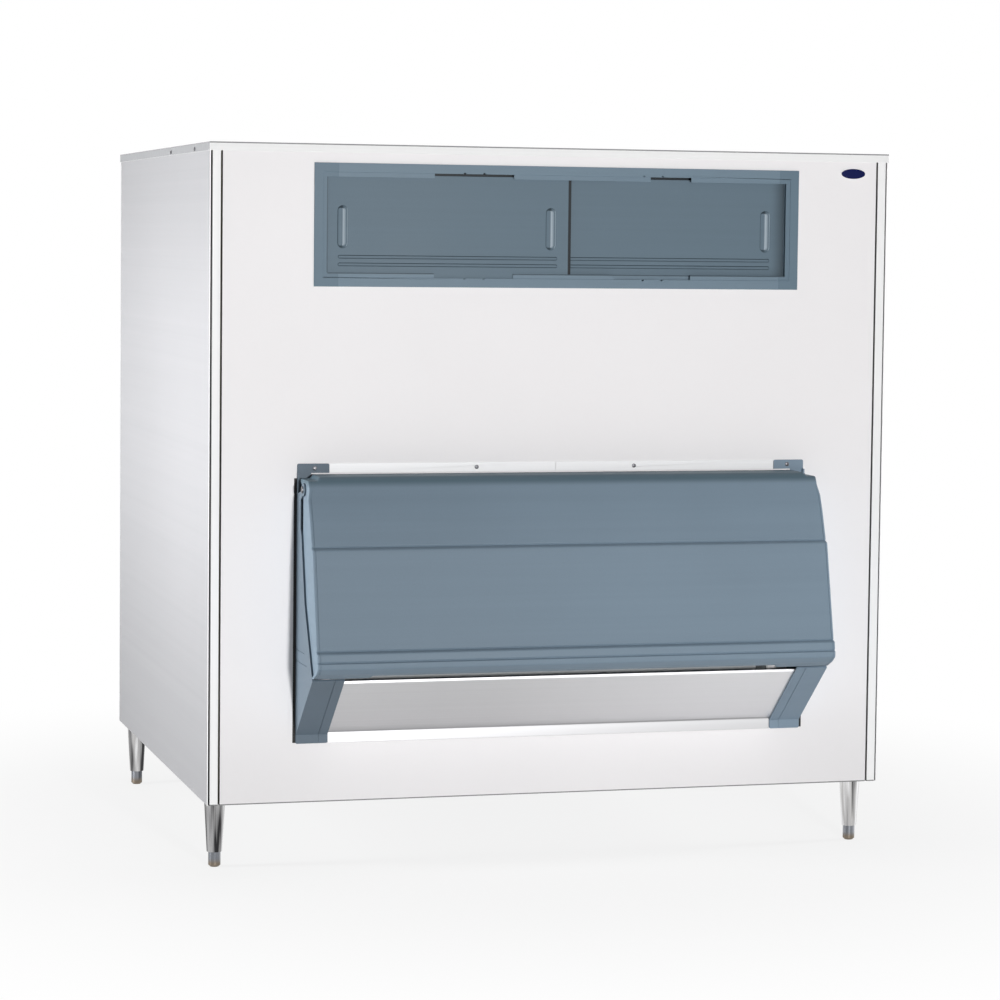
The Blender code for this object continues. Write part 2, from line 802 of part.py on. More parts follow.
def build_foam():
    """One foamed filling between the skins and the liner."""
    made = box((-foam_side, foam_side), (foam_front, foam_rear), (foam_bottom, foam_top))
    pad_half = panel_half - sheet - seam
    pad = box((-pad_half, pad_half), (front_y + sheet + seam, foam_front + sheet),
              (body_bottom + sheet + seam, panel_top - sheet - seam))
    made = join(made, pad)
    tools = liner_parts(liner_wall + seam)
    tools.append(box(window_hole_x, (front_y, foam_front), window_hole_z))
    flange_low = cover_under - trim_wall - 2 * seam
    tools.append(box(*drop_span(trim_flange + seam), (flange_low, body_top)))
    hole = drain_radius + slide_fit
    tools.append(turned((0.0, drain_y), [(hole, body_bottom), (hole, cavity_bottom)]))
    for side, end in leg_places:
        x, y = leg_centre(side, end)
        reach = socket_plate / 2 + seam
        tools.append(box((x - reach, x + reach), (y - reach, y + reach),
                         (body_bottom, foam_bottom + socket_thickness + seam)))
        pocket = socket_radius + seam
        tools.append(turned((x, y), [(pocket, body_bottom), (pocket, foam_bottom + socket_height
                                                              + seam)]))
    pocket = screw_hole_radius + seam
    for x in front_screw_places:
        tools.append(rod_y((x, screw_row), [(pocket, front_y), (pocket, foam_front + screw_length)]))
    for side in ("left", "right"):
        x_span = mirrored((half_width - screw_length - sheet, half_width), side)
        for place in cover_screw_places:
            axis = (-place, body_top - cover_screw_drop)
            tools.append(rod_x(axis, [(pocket, x) for x in x_span]))
    return finish("foam_insulation", cut(made, *tools), "foam_fill")


def frame_section():
    """Frame outline: distance in from the outer edge, distance behind the panel's face."""
    return [(0.0, -frame_proud), (frame_border, -frame_proud), (frame_border, -lip_set_back),
            (frame_lip, -lip_set_back), (frame_lip, lip_back), (channel_inside, lip_back),
            (channel_inside, fin_front), (frame_lip, fin_front), (frame_lip, fin_back),
            (channel_inside, fin_back), (channel_inside, rear_lip_front),
            (frame_lip, rear_lip_front), (frame_lip, rear_lip_back),
            (channel_outside, rear_lip_back), (channel_outside, -seam), (0.0, -seam)]


def build_window_frame():
    section = frame_section()
    corners = [(window_left, window_bottom, 1, 1), (window_right, window_bottom, -1, 1),
               (window_right, window_top, -1, -1), (window_left, window_top, 1, -1)]
    vertices = []
    for x, z, inward_x, inward_z in corners:
        vertices += [(x + inward_x * u, front_y + v, z + inward_z * u) for u, v in section]
    count = len(section)
    faces = []
    for corner in range(len(corners)):
        here = corner * count
        there = (corner + 1) % len(corners) * count
        for i in range(count):
            j = (i + 1) % count
            faces.append((here + i, here + j, there + j, there + i))
    made = solid(vertices, faces)
    lip_y = (front_y - frame_proud, front_y + lip_back + track_play)
    tools = []
    for centre in notch_centres:
        x_span = (centre - notch_length / 2, centre + notch_length / 2)
        for low, high in ((window_bottom + frame_border, window_bottom + frame_lip + sheet),
                          (window_top - frame_lip - sheet, window_top - frame_border)):
            tools.append(box(x_span, lip_y, (low, high)))
        for edge in (window_bottom + frame_border, window_top - frame_border):
            for step in (-nick_pitch / 2, nick_pitch / 2):
                tools.append(rod_y((centre + step, edge), [(nick_radius, y) for y in lip_y], 12))
    fin_x = (fin_notch_centre - notch_length / 2, fin_notch_centre + notch_length / 2)
    tools.append(box(fin_x, (front_y + fin_front - track_play, front_y + fin_back + track_play),
                     (window_top - frame_lip - sheet, window_top - frame_border)))
    return finish("window_frame", cut(made, *tools), "frame_plastic")


def build_window_door(side):
    if side == "left":
        start = window_left + door_seat
        depth = lip_back + track_play
    else:
        start = window_right - door_seat - door_width
        depth = fin_back + track_play
    bottom = window_bottom + door_seat
    front = front_y + depth
    made = box((start, start + door_width), (front, front + door_thickness),
               (bottom, bottom + door_height))
    tools = []
    ahead = front - sheet
    for x in (start + door_pull_inset, start + door_width - door_pull_inset):
        outline = stadium((x, bottom + door_height / 2), door_pull_width, door_pull_height)
        tools.append(facing(outline, (ahead, front + door_pull_depth)))
    middle = start + door_width / 2
    for i in range(2):
        height = bottom + door_line_low + i * door_line_pitch
        outline = stadium((middle, height), door_width - 2 * door_line_inset, door_line_height, 4)
        tools.append(facing(outline, (ahead, front + door_line_depth)))
    origin = (middle, front, bottom)
    return finish("window_door_" + side, cut(made, *tools), "door_plastic", origin, smooth)


def build_gate_track(side):
    outer = gate_half_width + slide_fit + track_wall
    low, high = mirrored((outer - track_grip, outer), side)
    web = (high - track_wall, high) if side == "right" else (low, low + track_wall)
    front = cavity_front + seam
    slot = gate_thickness + 2 * slide_fit
    z_span = (cavity_bottom + seam, cavity_bottom + seam + track_height)
    y_span = (front, front + slot + 2 * track_wall)
    made = box((low, high), y_span, z_span)
    open_side = (low - track_wall, web[0]) if side == "right" else (web[1], high + track_wall)
    slot_y = (front + track_wall, front + track_wall + slot)
    made = cut(made, box(open_side, slot_y, (body_bottom, body_top)))
    return finish("gate_track_" + side, made, "liner_plastic")


def build_gate():
    front = cavity_front + seam + track_wall + slide_fit
    bottom = cavity_bottom + seam
    made = box((-gate_half_width, gate_half_width), (front, front + gate_thickness),
               (bottom, bottom + gate_height))
    tools = []
    for x in (-gate_hole_at, gate_hole_at):
        outline = stadium((x, bottom + gate_height - gate_hole_drop), gate_hole_width,
                          gate_hole_height)
        tools.append(facing(outline, (front - sheet, front + gate_thickness + sheet)))
    return finish("ice_gate", cut(made, *tools), "gate_board", (0.0, front, bottom), smooth)


def build_drain_fitting():
    centre = (0.0, drain_y)
    seat = cavity_bottom + seam
    low = body_bottom - drain_drop
    levels = [(drain_radius, low), (drain_radius, seat), (drain_flange_radius, seat),
              (drain_flange_radius, seat + drain_flange)]
    made = cut(turned(centre, levels),
               turned(centre, [(drain_bore, low - sheet), (drain_bore, cavity_top)]))
    return finish("drain_fitting", made, "drain_plastic", smooth_angle=smooth)


def build_strainer():
    """Flat slotted disc that lies on the drain's flange."""
    low = cavity_bottom + 2 * seam + drain_flange
    high = low + strainer_thickness
    made = turned((0.0, drain_y), [(strainer_radius, low), (strainer_radius, high)])
    tools = []
    half = strainer_slot_length / 2
    for i in (-1, 0, 1):
        middle = i * strainer_slot_pitch
        tools.append(box((middle - strainer_slot, middle + strainer_slot),
                         (drain_y - half, drain_y + half), (cavity_bottom, high + sheet)))
    return finish("drain_strainer", cut(made, *tools), "drain_plastic", smooth_angle=smooth)


def leg_centre(side, end):
    x = sign_of(side) * (half_width - leg_inset_side)
    return (x, front_y + leg_inset_front if end == "front" else rear_y - leg_inset_front)


def build_leg_set(side, end):
    """Socket above the base, tapered leg under it, levelling foot in the leg."""
    centre = leg_centre(side, end)
    tail = "_" + end + "_" + side
    x, y = centre
    half = socket_plate / 2
    plate = box((x - half, x + half), (y - half, y + half),
                (foam_bottom, foam_bottom + socket_thickness))
    socket = join(plate, turned(centre, [(socket_radius, foam_bottom),
                                         (socket_radius, foam_bottom + socket_height)]))
    stud_top = body_bottom + stud_length
    bore = stud_radius + thread_play
    socket = cut(socket, turned(centre, [(bore, body_bottom), (bore, stud_top + slide_fit)]))
    finish("leg_socket" + tail, socket, "leg_metal", smooth_angle=smooth)

    ankle = leg_height - leg_length
    seat = body_bottom - seam
    cone = turned(centre, [(leg_foot_radius, ankle), (leg_top_radius, seat),
                           (stud_radius, seat), (stud_radius, stud_top)])
    bore = stem_radius + thread_play
    cone = cut(cone, turned(centre, [(bore, 0.0), (bore, ankle + stem_length + stem_bore_spare)]))
    finish("leg" + tail, cone, "leg_metal", smooth_angle=smooth)

    top = ankle - seam
    foot = turned(centre, [(foot_radius - foot_edge, 0.0), (foot_radius, foot_edge),
                           (foot_radius, top), (stem_radius, top), (stem_radius, top + stem_length)])
    finish("levelling_foot" + tail, foot, "leg_metal", (x, y, 0.0), smooth)


def build_front_screw(name, x, seat):
    """Pan head screw in the front, its head on a seat ahead of the panel."""
    under = front_y - seat
    levels = [(screw_shank_radius, under + screw_length), (screw_shank_radius, under),
              (screw_head_radius, under), (screw_head_radius, under - screw_head / 2),
              (screw_head_radius / 2, under - screw_head)]
    return finish(name, rod_y((x, screw_row), levels), "screw_steel", smooth_angle=smooth)


def build_cover_screw(side, number, place):
    sign = sign_of(side)
    under = sign * (half_width + cover_overhang_side + seam)
    levels = [(screw_shank_radius, under - sign * screw_length), (screw_shank_radius, under),
              (screw_head_radius, under), (screw_head_radius, under + sign * screw_head / 2),
              (screw_head_radius / 2, under + sign * screw_head)]
    axis = (-place, body_top - cover_screw_drop)
    return finish("cover_screw_%s_%d" % (side, number), rod_x(axis, levels), "screw_steel",
                  smooth_angle=smooth)


def build_badge():
    centre = (half_width - badge_inset, body_top - badge_drop)
    outline = [(centre[0] + badge_width / 2 * x, centre[1] + badge_height / 2 * z)
               for x, z in circle((0.0, 0.0), 1.0, 48)]
    made = facing(outline, (front_y - seam - badge_thickness, front_y - seam))
    return finish("badge", made, "badge_blue", smooth_angle=smooth)


def build_all():
    build_front_panel()
    build_rear_panel()
    build_base_pan()
    build_top_cover()
    build_drop_trim()
    build_liner()
    build_foam()
    build_window_frame()
    build_hood()
    build_chute()
    build_gate()
    build_drain_fitting()
    build_strainer()
    build_badge()
    for side in ("left", "right"):
        build_side_panel(side)
        build_corner_post(side)
        build_window_door(side)
        build_bracket(side)
        build_pin(side)
        build_header_strip(side)
        build_gate_track(side)
        sign = sign_of(side)
        build_front_screw("ear_screw_" + side, sign * ear_screw_at, flange_thickness + seam)
        build_front_screw("strip_screw_" + side, sign * strip_screw_at, 2 * seam + sheet)
        for number, place in enumerate(cover_screw_places, 1):
            build_cover_screw(side, number, place)
    for side, end in leg_places:
        build_leg_set(side, end)


clear_scene()
build_all()
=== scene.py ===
# %% [markdown]
# # An ice storage bin with a flip-up hood
#
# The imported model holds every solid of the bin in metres: X runs across the width, the front
# faces -Y and the floor is at Z = 0. This lesson dresses those solids. Folded sheet and moulded
# plastic keep their place and get rolled edges, the hood is modelled again as a thin shell, and
# every finish is made from shader nodes.

# %% Load the frame
import json
import math
import bpy
import bmesh
from mathutils import Matrix, Vector

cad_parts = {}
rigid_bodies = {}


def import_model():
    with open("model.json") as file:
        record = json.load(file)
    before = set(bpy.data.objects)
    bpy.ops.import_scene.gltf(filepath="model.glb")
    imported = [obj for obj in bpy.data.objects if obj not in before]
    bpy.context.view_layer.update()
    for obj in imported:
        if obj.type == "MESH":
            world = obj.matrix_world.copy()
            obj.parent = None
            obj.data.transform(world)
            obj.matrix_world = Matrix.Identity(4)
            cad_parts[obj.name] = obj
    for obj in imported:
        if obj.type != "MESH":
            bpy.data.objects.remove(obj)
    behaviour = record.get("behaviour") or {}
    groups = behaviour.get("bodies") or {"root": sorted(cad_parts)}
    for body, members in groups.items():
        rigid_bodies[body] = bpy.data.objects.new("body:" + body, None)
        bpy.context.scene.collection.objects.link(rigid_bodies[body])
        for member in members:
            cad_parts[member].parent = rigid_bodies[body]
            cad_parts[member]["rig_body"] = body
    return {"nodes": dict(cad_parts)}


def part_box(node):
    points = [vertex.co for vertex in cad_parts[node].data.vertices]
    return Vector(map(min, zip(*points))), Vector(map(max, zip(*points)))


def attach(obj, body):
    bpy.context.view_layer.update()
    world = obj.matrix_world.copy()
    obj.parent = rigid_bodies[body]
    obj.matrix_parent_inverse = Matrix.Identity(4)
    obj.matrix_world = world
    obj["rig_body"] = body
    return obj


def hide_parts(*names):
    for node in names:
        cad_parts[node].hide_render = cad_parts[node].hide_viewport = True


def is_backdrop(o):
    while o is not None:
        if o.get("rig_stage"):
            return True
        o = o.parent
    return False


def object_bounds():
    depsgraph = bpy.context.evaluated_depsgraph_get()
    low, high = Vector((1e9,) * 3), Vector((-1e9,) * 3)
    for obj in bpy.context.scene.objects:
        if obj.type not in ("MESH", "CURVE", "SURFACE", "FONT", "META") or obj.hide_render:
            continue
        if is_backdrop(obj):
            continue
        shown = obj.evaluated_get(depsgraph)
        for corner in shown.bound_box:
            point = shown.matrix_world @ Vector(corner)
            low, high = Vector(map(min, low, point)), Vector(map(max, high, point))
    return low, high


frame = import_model()
cad_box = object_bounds()
scene = bpy.context.scene
nodes = frame["nodes"]
print("solids:", len(nodes), "box:", [tuple(round(c, 4) for c in corner) for corner in cad_box])

# %% [markdown]
# ## Effects that several finishes share
#
# Real surfaces are never one even colour. Moulded plastic has a fine pebble grain, folded steel
# is brushed one way, and everything that people touch picks up faint clouds of wear. Each of
# these could be mixed by hand in every material, but then no two would match. Here each effect
# is a node group with named inputs, built once and placed where it is needed.

# %% A helper for node groups
def new_group(name, inputs, outputs):
    """An empty node group with float or colour sockets; returns the tree and its two ends."""
    tree = bpy.data.node_groups.new(name, "ShaderNodeTree")
    for label, kind, value in inputs:
        socket = tree.interface.new_socket(label, in_out="INPUT", socket_type=kind)
        socket.default_value = value
    for label, kind in outputs:
        tree.interface.new_socket(label, in_out="OUTPUT", socket_type=kind)
    return tree, tree.nodes.new("NodeGroupInput"), tree.nodes.new("NodeGroupOutput")


def ramp_between(tree, source, low, high):
    """A mask that rises from 0 to 1 while the source goes from low to high."""
    node = tree.nodes.new("ShaderNodeMapRange")
    node.inputs["From Min"].default_value = low
    node.inputs["From Max"].default_value = high
    tree.links.new(source, node.inputs["Value"])
    return node.outputs["Result"]


def math_node(tree, operation, *values):
    """A math node whose inputs are sockets or plain numbers."""
    node = tree.nodes.new("ShaderNodeMath")
    node.operation = operation
    for slot, value in enumerate(values):
        if isinstance(value, (int, float)):
            node.inputs[slot].default_value = value
        else:
            tree.links.new(value, node.inputs[slot])
    return node.outputs["Value"]


def mix_colour(tree, factor, first, second):
    """Blend two colours, each a socket or an RGBA tuple."""
    node = tree.nodes.new("ShaderNodeMix")
    node.data_type = "RGBA"
    # The node has inputs of each kind; its colours are inputs 6 and 7 and output 2.
    for slot, value in ((0, factor), (6, first), (7, second)):
        if isinstance(value, (int, float, tuple)):
            node.inputs[slot].default_value = value
        else:
            tree.links.new(value, node.inputs[slot])
    return node.outputs[2]


print("helpers ready")

# %% [markdown]
# ### Cloudy wear
#
# Coats and plastics fade and soil in soft patches, some as large as a hand. A large noise and a
# small one, added, give a mask whose size and strength each material chooses for itself.

# %% Group: cloudy wear
def build_cloudy_wear():
    tree, start, end = new_group(
        "cloudy wear",
        [("Patch Size", "NodeSocketFloat", 3.0), ("Speck Size", "NodeSocketFloat", 140.0),
         ("Speck Share", "NodeSocketFloat", 0.25)],
        [("Mask", "NodeSocketFloat")])
    place = tree.nodes.new("ShaderNodeTexCoord")
    layers = []
    for socket, detail in (("Patch Size", 3.0), ("Speck Size", 2.0)):
        noise = tree.nodes.new("ShaderNodeTexNoise")
        noise.inputs["Detail"].default_value = detail
        tree.links.new(place.outputs["Object"], noise.inputs["Vector"])
        tree.links.new(start.outputs[socket], noise.inputs["Scale"])
        layers.append(ramp_between(tree, noise.outputs["Fac"], 0.3, 0.7))
    specks = math_node(tree, "MULTIPLY", layers[1], start.outputs["Speck Share"])
    rest = math_node(tree, "SUBTRACT", 1.0, start.outputs["Speck Share"])
    clouds = math_node(tree, "MULTIPLY", layers[0], rest)
    tree.links.new(math_node(tree, "ADD", clouds, specks), end.inputs["Mask"])
    return tree


cloudy_wear = build_cloudy_wear()
print("group:", cloudy_wear.name)

# %% [markdown]
# ### Pebble grain
#
# The mould that shapes the hood is etched, so the plastic comes out with a fine grain that
# breaks up highlights. It is far too fine to model, so it is a height that feeds a bump.

# %% Group: pebble grain
def build_pebble_grain():
    tree, start, end = new_group(
        "pebble grain",
        [("Scale", "NodeSocketFloat", 900.0), ("Waviness", "NodeSocketFloat", 0.3)],
        [("Height", "NodeSocketFloat")])
    place = tree.nodes.new("ShaderNodeTexCoord")
    fine = tree.nodes.new("ShaderNodeTexNoise")
    fine.inputs["Detail"].default_value = 1.0
    tree.links.new(place.outputs["Object"], fine.inputs["Vector"])
    tree.links.new(start.outputs["Scale"], fine.inputs["Scale"])
    wave = tree.nodes.new("ShaderNodeTexNoise")
    wave.inputs["Scale"].default_value = 9.0
    wave.inputs["Detail"].default_value = 1.0
    tree.links.new(place.outputs["Object"], wave.inputs["Vector"])
    slow = math_node(tree, "MULTIPLY", wave.outputs["Fac"], start.outputs["Waviness"])
    tree.links.new(math_node(tree, "ADD", fine.outputs["Fac"], slow), end.inputs["Height"])
    return tree


pebble_grain = build_pebble_grain()
print("group:", pebble_grain.name)

# %% [markdown]
# ### Brushed lines
#
# Steel skins are brushed along one direction at the mill. Stretching a noise a hundred times
# along that direction turns its blobs into fine lines; they shade the colour, the roughness and
# the surface together.

# %% Group: brushed lines
def build_brushed_lines():
    tree, start, end = new_group(
        "brushed lines",
        [("Stretch X", "NodeSocketFloat", 1.0), ("Stretch Y", "NodeSocketFloat", 1.0),
         ("Stretch Z", "NodeSocketFloat", 1.0)],
        [("Lines", "NodeSocketFloat"), ("Broad", "NodeSocketFloat")])
    place = tree.nodes.new("ShaderNodeTexCoord")
    axes = tree.nodes.new("ShaderNodeCombineXYZ")
    for axis in "XYZ":
        tree.links.new(start.outputs["Stretch " + axis], axes.inputs[axis])
    stretch = tree.nodes.new("ShaderNodeVectorMath")
    stretch.operation = "MULTIPLY"
    tree.links.new(place.outputs["Object"], stretch.inputs[0])
    tree.links.new(axes.outputs["Vector"], stretch.inputs[1])
    for label, scale, detail in (("Lines", 6.0, 3.0), ("Broad", 0.7, 2.0)):
        noise = tree.nodes.new("ShaderNodeTexNoise")
        noise.inputs["Scale"].default_value = scale
        noise.inputs["Detail"].default_value = detail
        tree.links.new(stretch.outputs["Vector"], noise.inputs["Vector"])
        tree.links.new(ramp_between(tree, noise.outputs["Fac"], 0.3, 0.7), end.inputs[label])
    return tree


brushed_lines = build_brushed_lines()
print("group:", brushed_lines.name)

# %% [markdown]
# ### Tone across a piece
#
# A long moulding or sheet is not painted one tone from end to end here: the hood gets painted
# light that brightens it toward its right end, and the side panels get painted shade toward the
# back. This group turns a place on the object into a mask that rises between two limits along one
# axis, so one group serves for soft drifts and, with its limits close together, for sharp bands.

# %% Group: tone across
def build_tone_across():
    tree, start, end = new_group(
        "tone across",
        [("Along X", "NodeSocketFloat", 1.0), ("Along Y", "NodeSocketFloat", 0.0),
         ("Along Z", "NodeSocketFloat", 0.0), ("From", "NodeSocketFloat", -0.6),
         ("To", "NodeSocketFloat", 0.6)],
        [("Mask", "NodeSocketFloat")])
    place = tree.nodes.new("ShaderNodeTexCoord")
    axes = tree.nodes.new("ShaderNodeCombineXYZ")
    for axis in "XYZ":
        tree.links.new(start.outputs["Along " + axis], axes.inputs[axis])
    along = tree.nodes.new("ShaderNodeVectorMath")
    along.operation = "DOT_PRODUCT"
    tree.links.new(place.outputs["Object"], along.inputs[0])
    tree.links.new(axes.outputs["Vector"], along.inputs[1])
    rise = tree.nodes.new("ShaderNodeMapRange")
    rise.interpolation_type = "SMOOTHSTEP"
    tree.links.new(along.outputs["Value"], rise.inputs["Value"])
    tree.links.new(start.outputs["From"], rise.inputs["From Min"])
    tree.links.new(start.outputs["To"], rise.inputs["From Max"])
    tree.links.new(rise.outputs["Result"], end.inputs["Mask"])
    return tree


tone_across = build_tone_across()
print("group:", tone_across.name)

# %% [markdown]
# ### Painted shade and highlights at the seams
#
# The seams beside each corner post get painted shade, and a band of painted shadow, cast by the
# hood, runs up the outside of each hood bracket. The mask is 1 on the painted shadow beside the
# bracket, a little less in the seams and 0 elsewhere, so any finish can turn dark there. On the
# right the outer seam gets a painted white highlight, and on the left the side panel's folded lip
# gets a painted highlight.
#
# The shade could be modelled as dark strips, but they would lie in gaps a few millimetres wide and
# join pieces that are made apart. A mask in the finishes that meet there looks the same from every
# side.

# %% Group: painted seam shade and highlights
def between(tree, value, low, high):
    """1 where a value lies between two limits."""
    return math_node(tree, "MULTIPLY", math_node(tree, "GREATER_THAN", value, low),
                     math_node(tree, "LESS_THAN", value, high))


front_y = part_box("front_panel")[0].y
panel_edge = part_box("front_panel")[1].x
post_in, post_out = (corner.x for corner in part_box("corner_post_right"))
side_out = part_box("side_panel_right")[1].x
bracket_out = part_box("hood_bracket_right")[1].x
lap, post_roll, side_roll = 0.0002, 0.0014, 0.0010
pan_roll, front_depth = 0.0007, 0.0026
# Painted shadow of the hood on the front beside each bracket: its overlap, width, foot and top.
shadow_lap, shadow_width = 0.0005, 0.0063
shadow_foot, shadow_top = 0.275, 0.842
# The seams get this share of the painted shade beside the brackets.
seam_shade_share = 0.74


def build_seam_shade():
    tree, start, end = new_group(
        "seam shade", [("Depth Y", "NodeSocketFloat", front_y + pan_roll)],
        [("Dark", "NodeSocketFloat"), ("White", "NodeSocketFloat")])
    place = tree.nodes.new("ShaderNodeTexCoord")
    split = tree.nodes.new("ShaderNodeSeparateXYZ")
    tree.links.new(place.outputs["Object"], split.inputs["Vector"])
    x, y, z = (split.outputs[axis] for axis in "XYZ")
    out = math_node(tree, "ABSOLUTE", x)
    deep = math_node(tree, "GREATER_THAN", y, start.outputs["Depth Y"])
    inner = math_node(tree, "MULTIPLY", between(tree, out, panel_edge - lap, post_in + lap), deep)
    outer = between(tree, x, side_roll - side_out, post_roll - post_out)
    # Painted shadow cast by the hood on the front beside each bracket.
    beside = between(tree, out, bracket_out - shadow_lap, bracket_out + shadow_width)
    bracket_shadow = math_node(tree, "MULTIPLY", beside, between(tree, z, shadow_foot, shadow_top))
    seam_shade = math_node(tree, "ADD", inner, outer)
    tree.links.new(math_node(tree, "MULTIPLY_ADD", seam_shade, seam_shade_share, bracket_shadow), end.inputs["Dark"])
    # Painted highlight on the right outer seam and on the left side panel's folded lip.
    front = math_node(tree, "LESS_THAN", y, front_y + front_depth)
    right_outer_seam = between(tree, x, post_out - post_roll, side_out + side_roll)
    folded = between(tree, x, -side_out - side_roll, side_roll - side_out)
    bright = math_node(tree, "ADD", right_outer_seam, folded)
    tree.links.new(math_node(tree, "MULTIPLY", bright, front), end.inputs["White"])
    return tree


seam_shade_group = build_seam_shade()
print("group:", seam_shade_group.name)

# %% [markdown]
# ## The finishes
#
# A finish starts from the Principled shader with its even values set on its own sockets. Only
# what changes over the surface, such as colour, roughness and the bump, comes from the groups.

# %% Start a finish
def new_finish(name, roughness, metallic=0.0, specular=0.5):
    """A material with the even values of its Principled shader; returns it, its tree and shader."""
    made = bpy.data.materials.new(name)
    made.use_nodes = True
    shader = made.node_tree.nodes["Principled BSDF"]
    shader.inputs["Roughness"].default_value = roughness
    shader.inputs["Metallic"].default_value = metallic
    shader.inputs["Specular IOR Level"].default_value = specular
    return made, made.node_tree, shader


def place_group(tree, group, **values):
    """A group node with values for its sockets; an underscore stands for a space."""
    node = tree.nodes.new("ShaderNodeGroup")
    node.node_tree = group
    for label, value in values.items():
        node.inputs[label.replace("_", " ")].default_value = value
    return node


def add_bump(tree, shader, height, strength, distance):
    bump = tree.nodes.new("ShaderNodeBump")
    bump.inputs["Strength"].default_value = strength
    bump.inputs["Distance"].default_value = distance
    tree.links.new(height, bump.inputs["Height"])
    tree.links.new(bump.outputs["Normal"], shader.inputs["Normal"])


def vary_roughness(tree, shader, mask, least, most):
    """Roughness that follows a mask between two values."""
    rough = tree.nodes.new("ShaderNodeMapRange")
    rough.inputs["To Min"].default_value = least
    rough.inputs["To Max"].default_value = most
    tree.links.new(mask, rough.inputs["Value"])
    tree.links.new(rough.outputs["Result"], shader.inputs["Roughness"])


print("finish helpers ready")

# %% [markdown]
# Many marks on the bin lie in one place of a piece: a band, a line, an edge. They could be painted
# into an image, but an image blurs close by and has to travel with the file. Here the base colour
# is blended toward another one by a mask, which comes from where a point lies on the piece or
# from the way that its face looks.

# %% Masks and tints by place
def tint_where(finish, mask, colour, share=1.0):
    """Blend the base colour of a finish toward another colour where a mask says so."""
    tree = finish.node_tree
    if share < 1.0:
        mask = math_node(tree, "MULTIPLY", mask, share)
    base = tree.nodes["Principled BSDF"].inputs["Base Color"]
    tree.links.new(mix_colour(tree, mask, base.links[0].from_socket, colour + (1.0,)), base)


def mask_above(finish, axis, low, high, sign=1.0):
    """A mask that rises from 0 to 1 along an axis between two places."""
    along = {"Along_" + letter: sign if letter == axis else 0.0 for letter in "XYZ"}
    return place_group(finish.node_tree, tone_across, From=low, To=high, **along).outputs["Mask"]


def mask_below(finish, axis, low, high):
    """A mask that falls from 1 to 0 along an axis between two places."""
    return mask_above(finish, axis, -high, -low, -1.0)


def mask_span(finish, axis, low, high, soft=0.0002):
    """A mask over the places that lie between two limits along an axis."""
    return math_node(finish.node_tree, "MULTIPLY",
                     mask_above(finish, axis, low - soft, low + soft),
                     mask_below(finish, axis, high - soft, high + soft))


def facing(finish, axis):
    """How far each face of a piece looks along an axis, from -1 to 1."""
    tree = finish.node_tree
    place = tree.nodes.new("ShaderNodeTexCoord")
    split = tree.nodes.new("ShaderNodeSeparateXYZ")
    tree.links.new(place.outputs["Normal"], split.inputs["Vector"])
    return split.outputs[axis]


def paint_seam_shade(finish):
    """Painted shade in the seams and beside the brackets, and painted highlights at the seam edges."""
    masks = place_group(finish.node_tree, seam_shade_group)
    tint_where(finish, masks.outputs["Dark"], (0.014, 0.014, 0.015))
    tint_where(finish, masks.outputs["White"], (0.86, 0.86, 0.86))


print("tints ready")

# %% [markdown]
# ### Moulded plastic
#
# The hood, its brackets, the window frame and the doors are moulded in blue-grey polyethylene.
# The doors are a darker moulding. The left bracket is painted darker, as painted shade, and the
# right bracket lighter, as painted light; the hood gets painted light that brightens it from its
# left end to its right. One function makes them all from a colour, which gains or loses a fixed
# share in the patches and in faint lines of flow. The liner, the gate, its tracks and the drain
# are moulded in paler plastic by the same function.

# %% Finish: moulded plastics
def moulded_plastic(name, colour, roughness, patches, grain_strength=0.12, sidelight_drift=0.0):
    made, tree, shader = new_finish(name, roughness, specular=0.25)
    wear = place_group(tree, cloudy_wear, Patch_Size=patches, Speck_Size=420.0, Speck_Share=0.35)
    flow = place_group(tree, brushed_lines, Stretch_X=0.2, Stretch_Y=2.0, Stretch_Z=12.0)
    across = place_group(tree, tone_across)
    tone = math_node(tree, "ADD", math_node(tree, "MULTIPLY", wear.outputs["Mask"], 0.10),
                     math_node(tree, "MULTIPLY", flow.outputs["Lines"], 0.04))
    tone = math_node(tree, "ADD", tone, math_node(tree, "MULTIPLY", across.outputs["Mask"], sidelight_drift))
    darkest = 0.93 - sidelight_drift / 2
    darker = tuple(c * darkest for c in colour) + (1.0,)
    lighter = tuple(min(c * (darkest + 1.0), 1.0) for c in colour) + (1.0,)
    tree.links.new(mix_colour(tree, tone, darker, lighter), shader.inputs["Base Color"])
    vary_roughness(tree, shader, wear.outputs["Mask"], roughness - 0.05, roughness + 0.06)
    grain = place_group(tree, pebble_grain, Scale=700.0, Waviness=0.5)
    add_bump(tree, shader, grain.outputs["Height"], grain_strength, 0.0004)
    return made


# The hood's drift is painted light: it brightens from the left end to the right.
hood_finish = moulded_plastic("hood_finish", (0.170, 0.230, 0.288), 0.52, 2.5, sidelight_drift=0.20)
# The left bracket is painted darker as painted shade, the right one lighter as painted light.
bracket_lit_colours = (("left", (0.110, 0.147, 0.184)), ("right", (0.196, 0.262, 0.330)))
bracket_finishes = {side: moulded_plastic(side + "_bracket_finish", colour, 0.52, 4.0)
                    for side, colour in bracket_lit_colours}
frame_finish = moulded_plastic("frame_finish", (0.149, 0.212, 0.266), 0.50, 3.0)
door_finishes = {side: moulded_plastic(side + "_door_finish", (0.108, 0.157, 0.198), 0.52, 2.5)
                 for side in ("left", "right")}
liner_finish = moulded_plastic("liner_finish", (0.72, 0.74, 0.75), 0.40, 2.0, grain_strength=0.05)
gate_finish = moulded_plastic("gate_finish", (0.70, 0.73, 0.75), 0.44, 5.0, grain_strength=0.10)
drain_finish = moulded_plastic("drain_finish", (0.58, 0.59, 0.60), 0.42, 12.0)
print("plastics made")

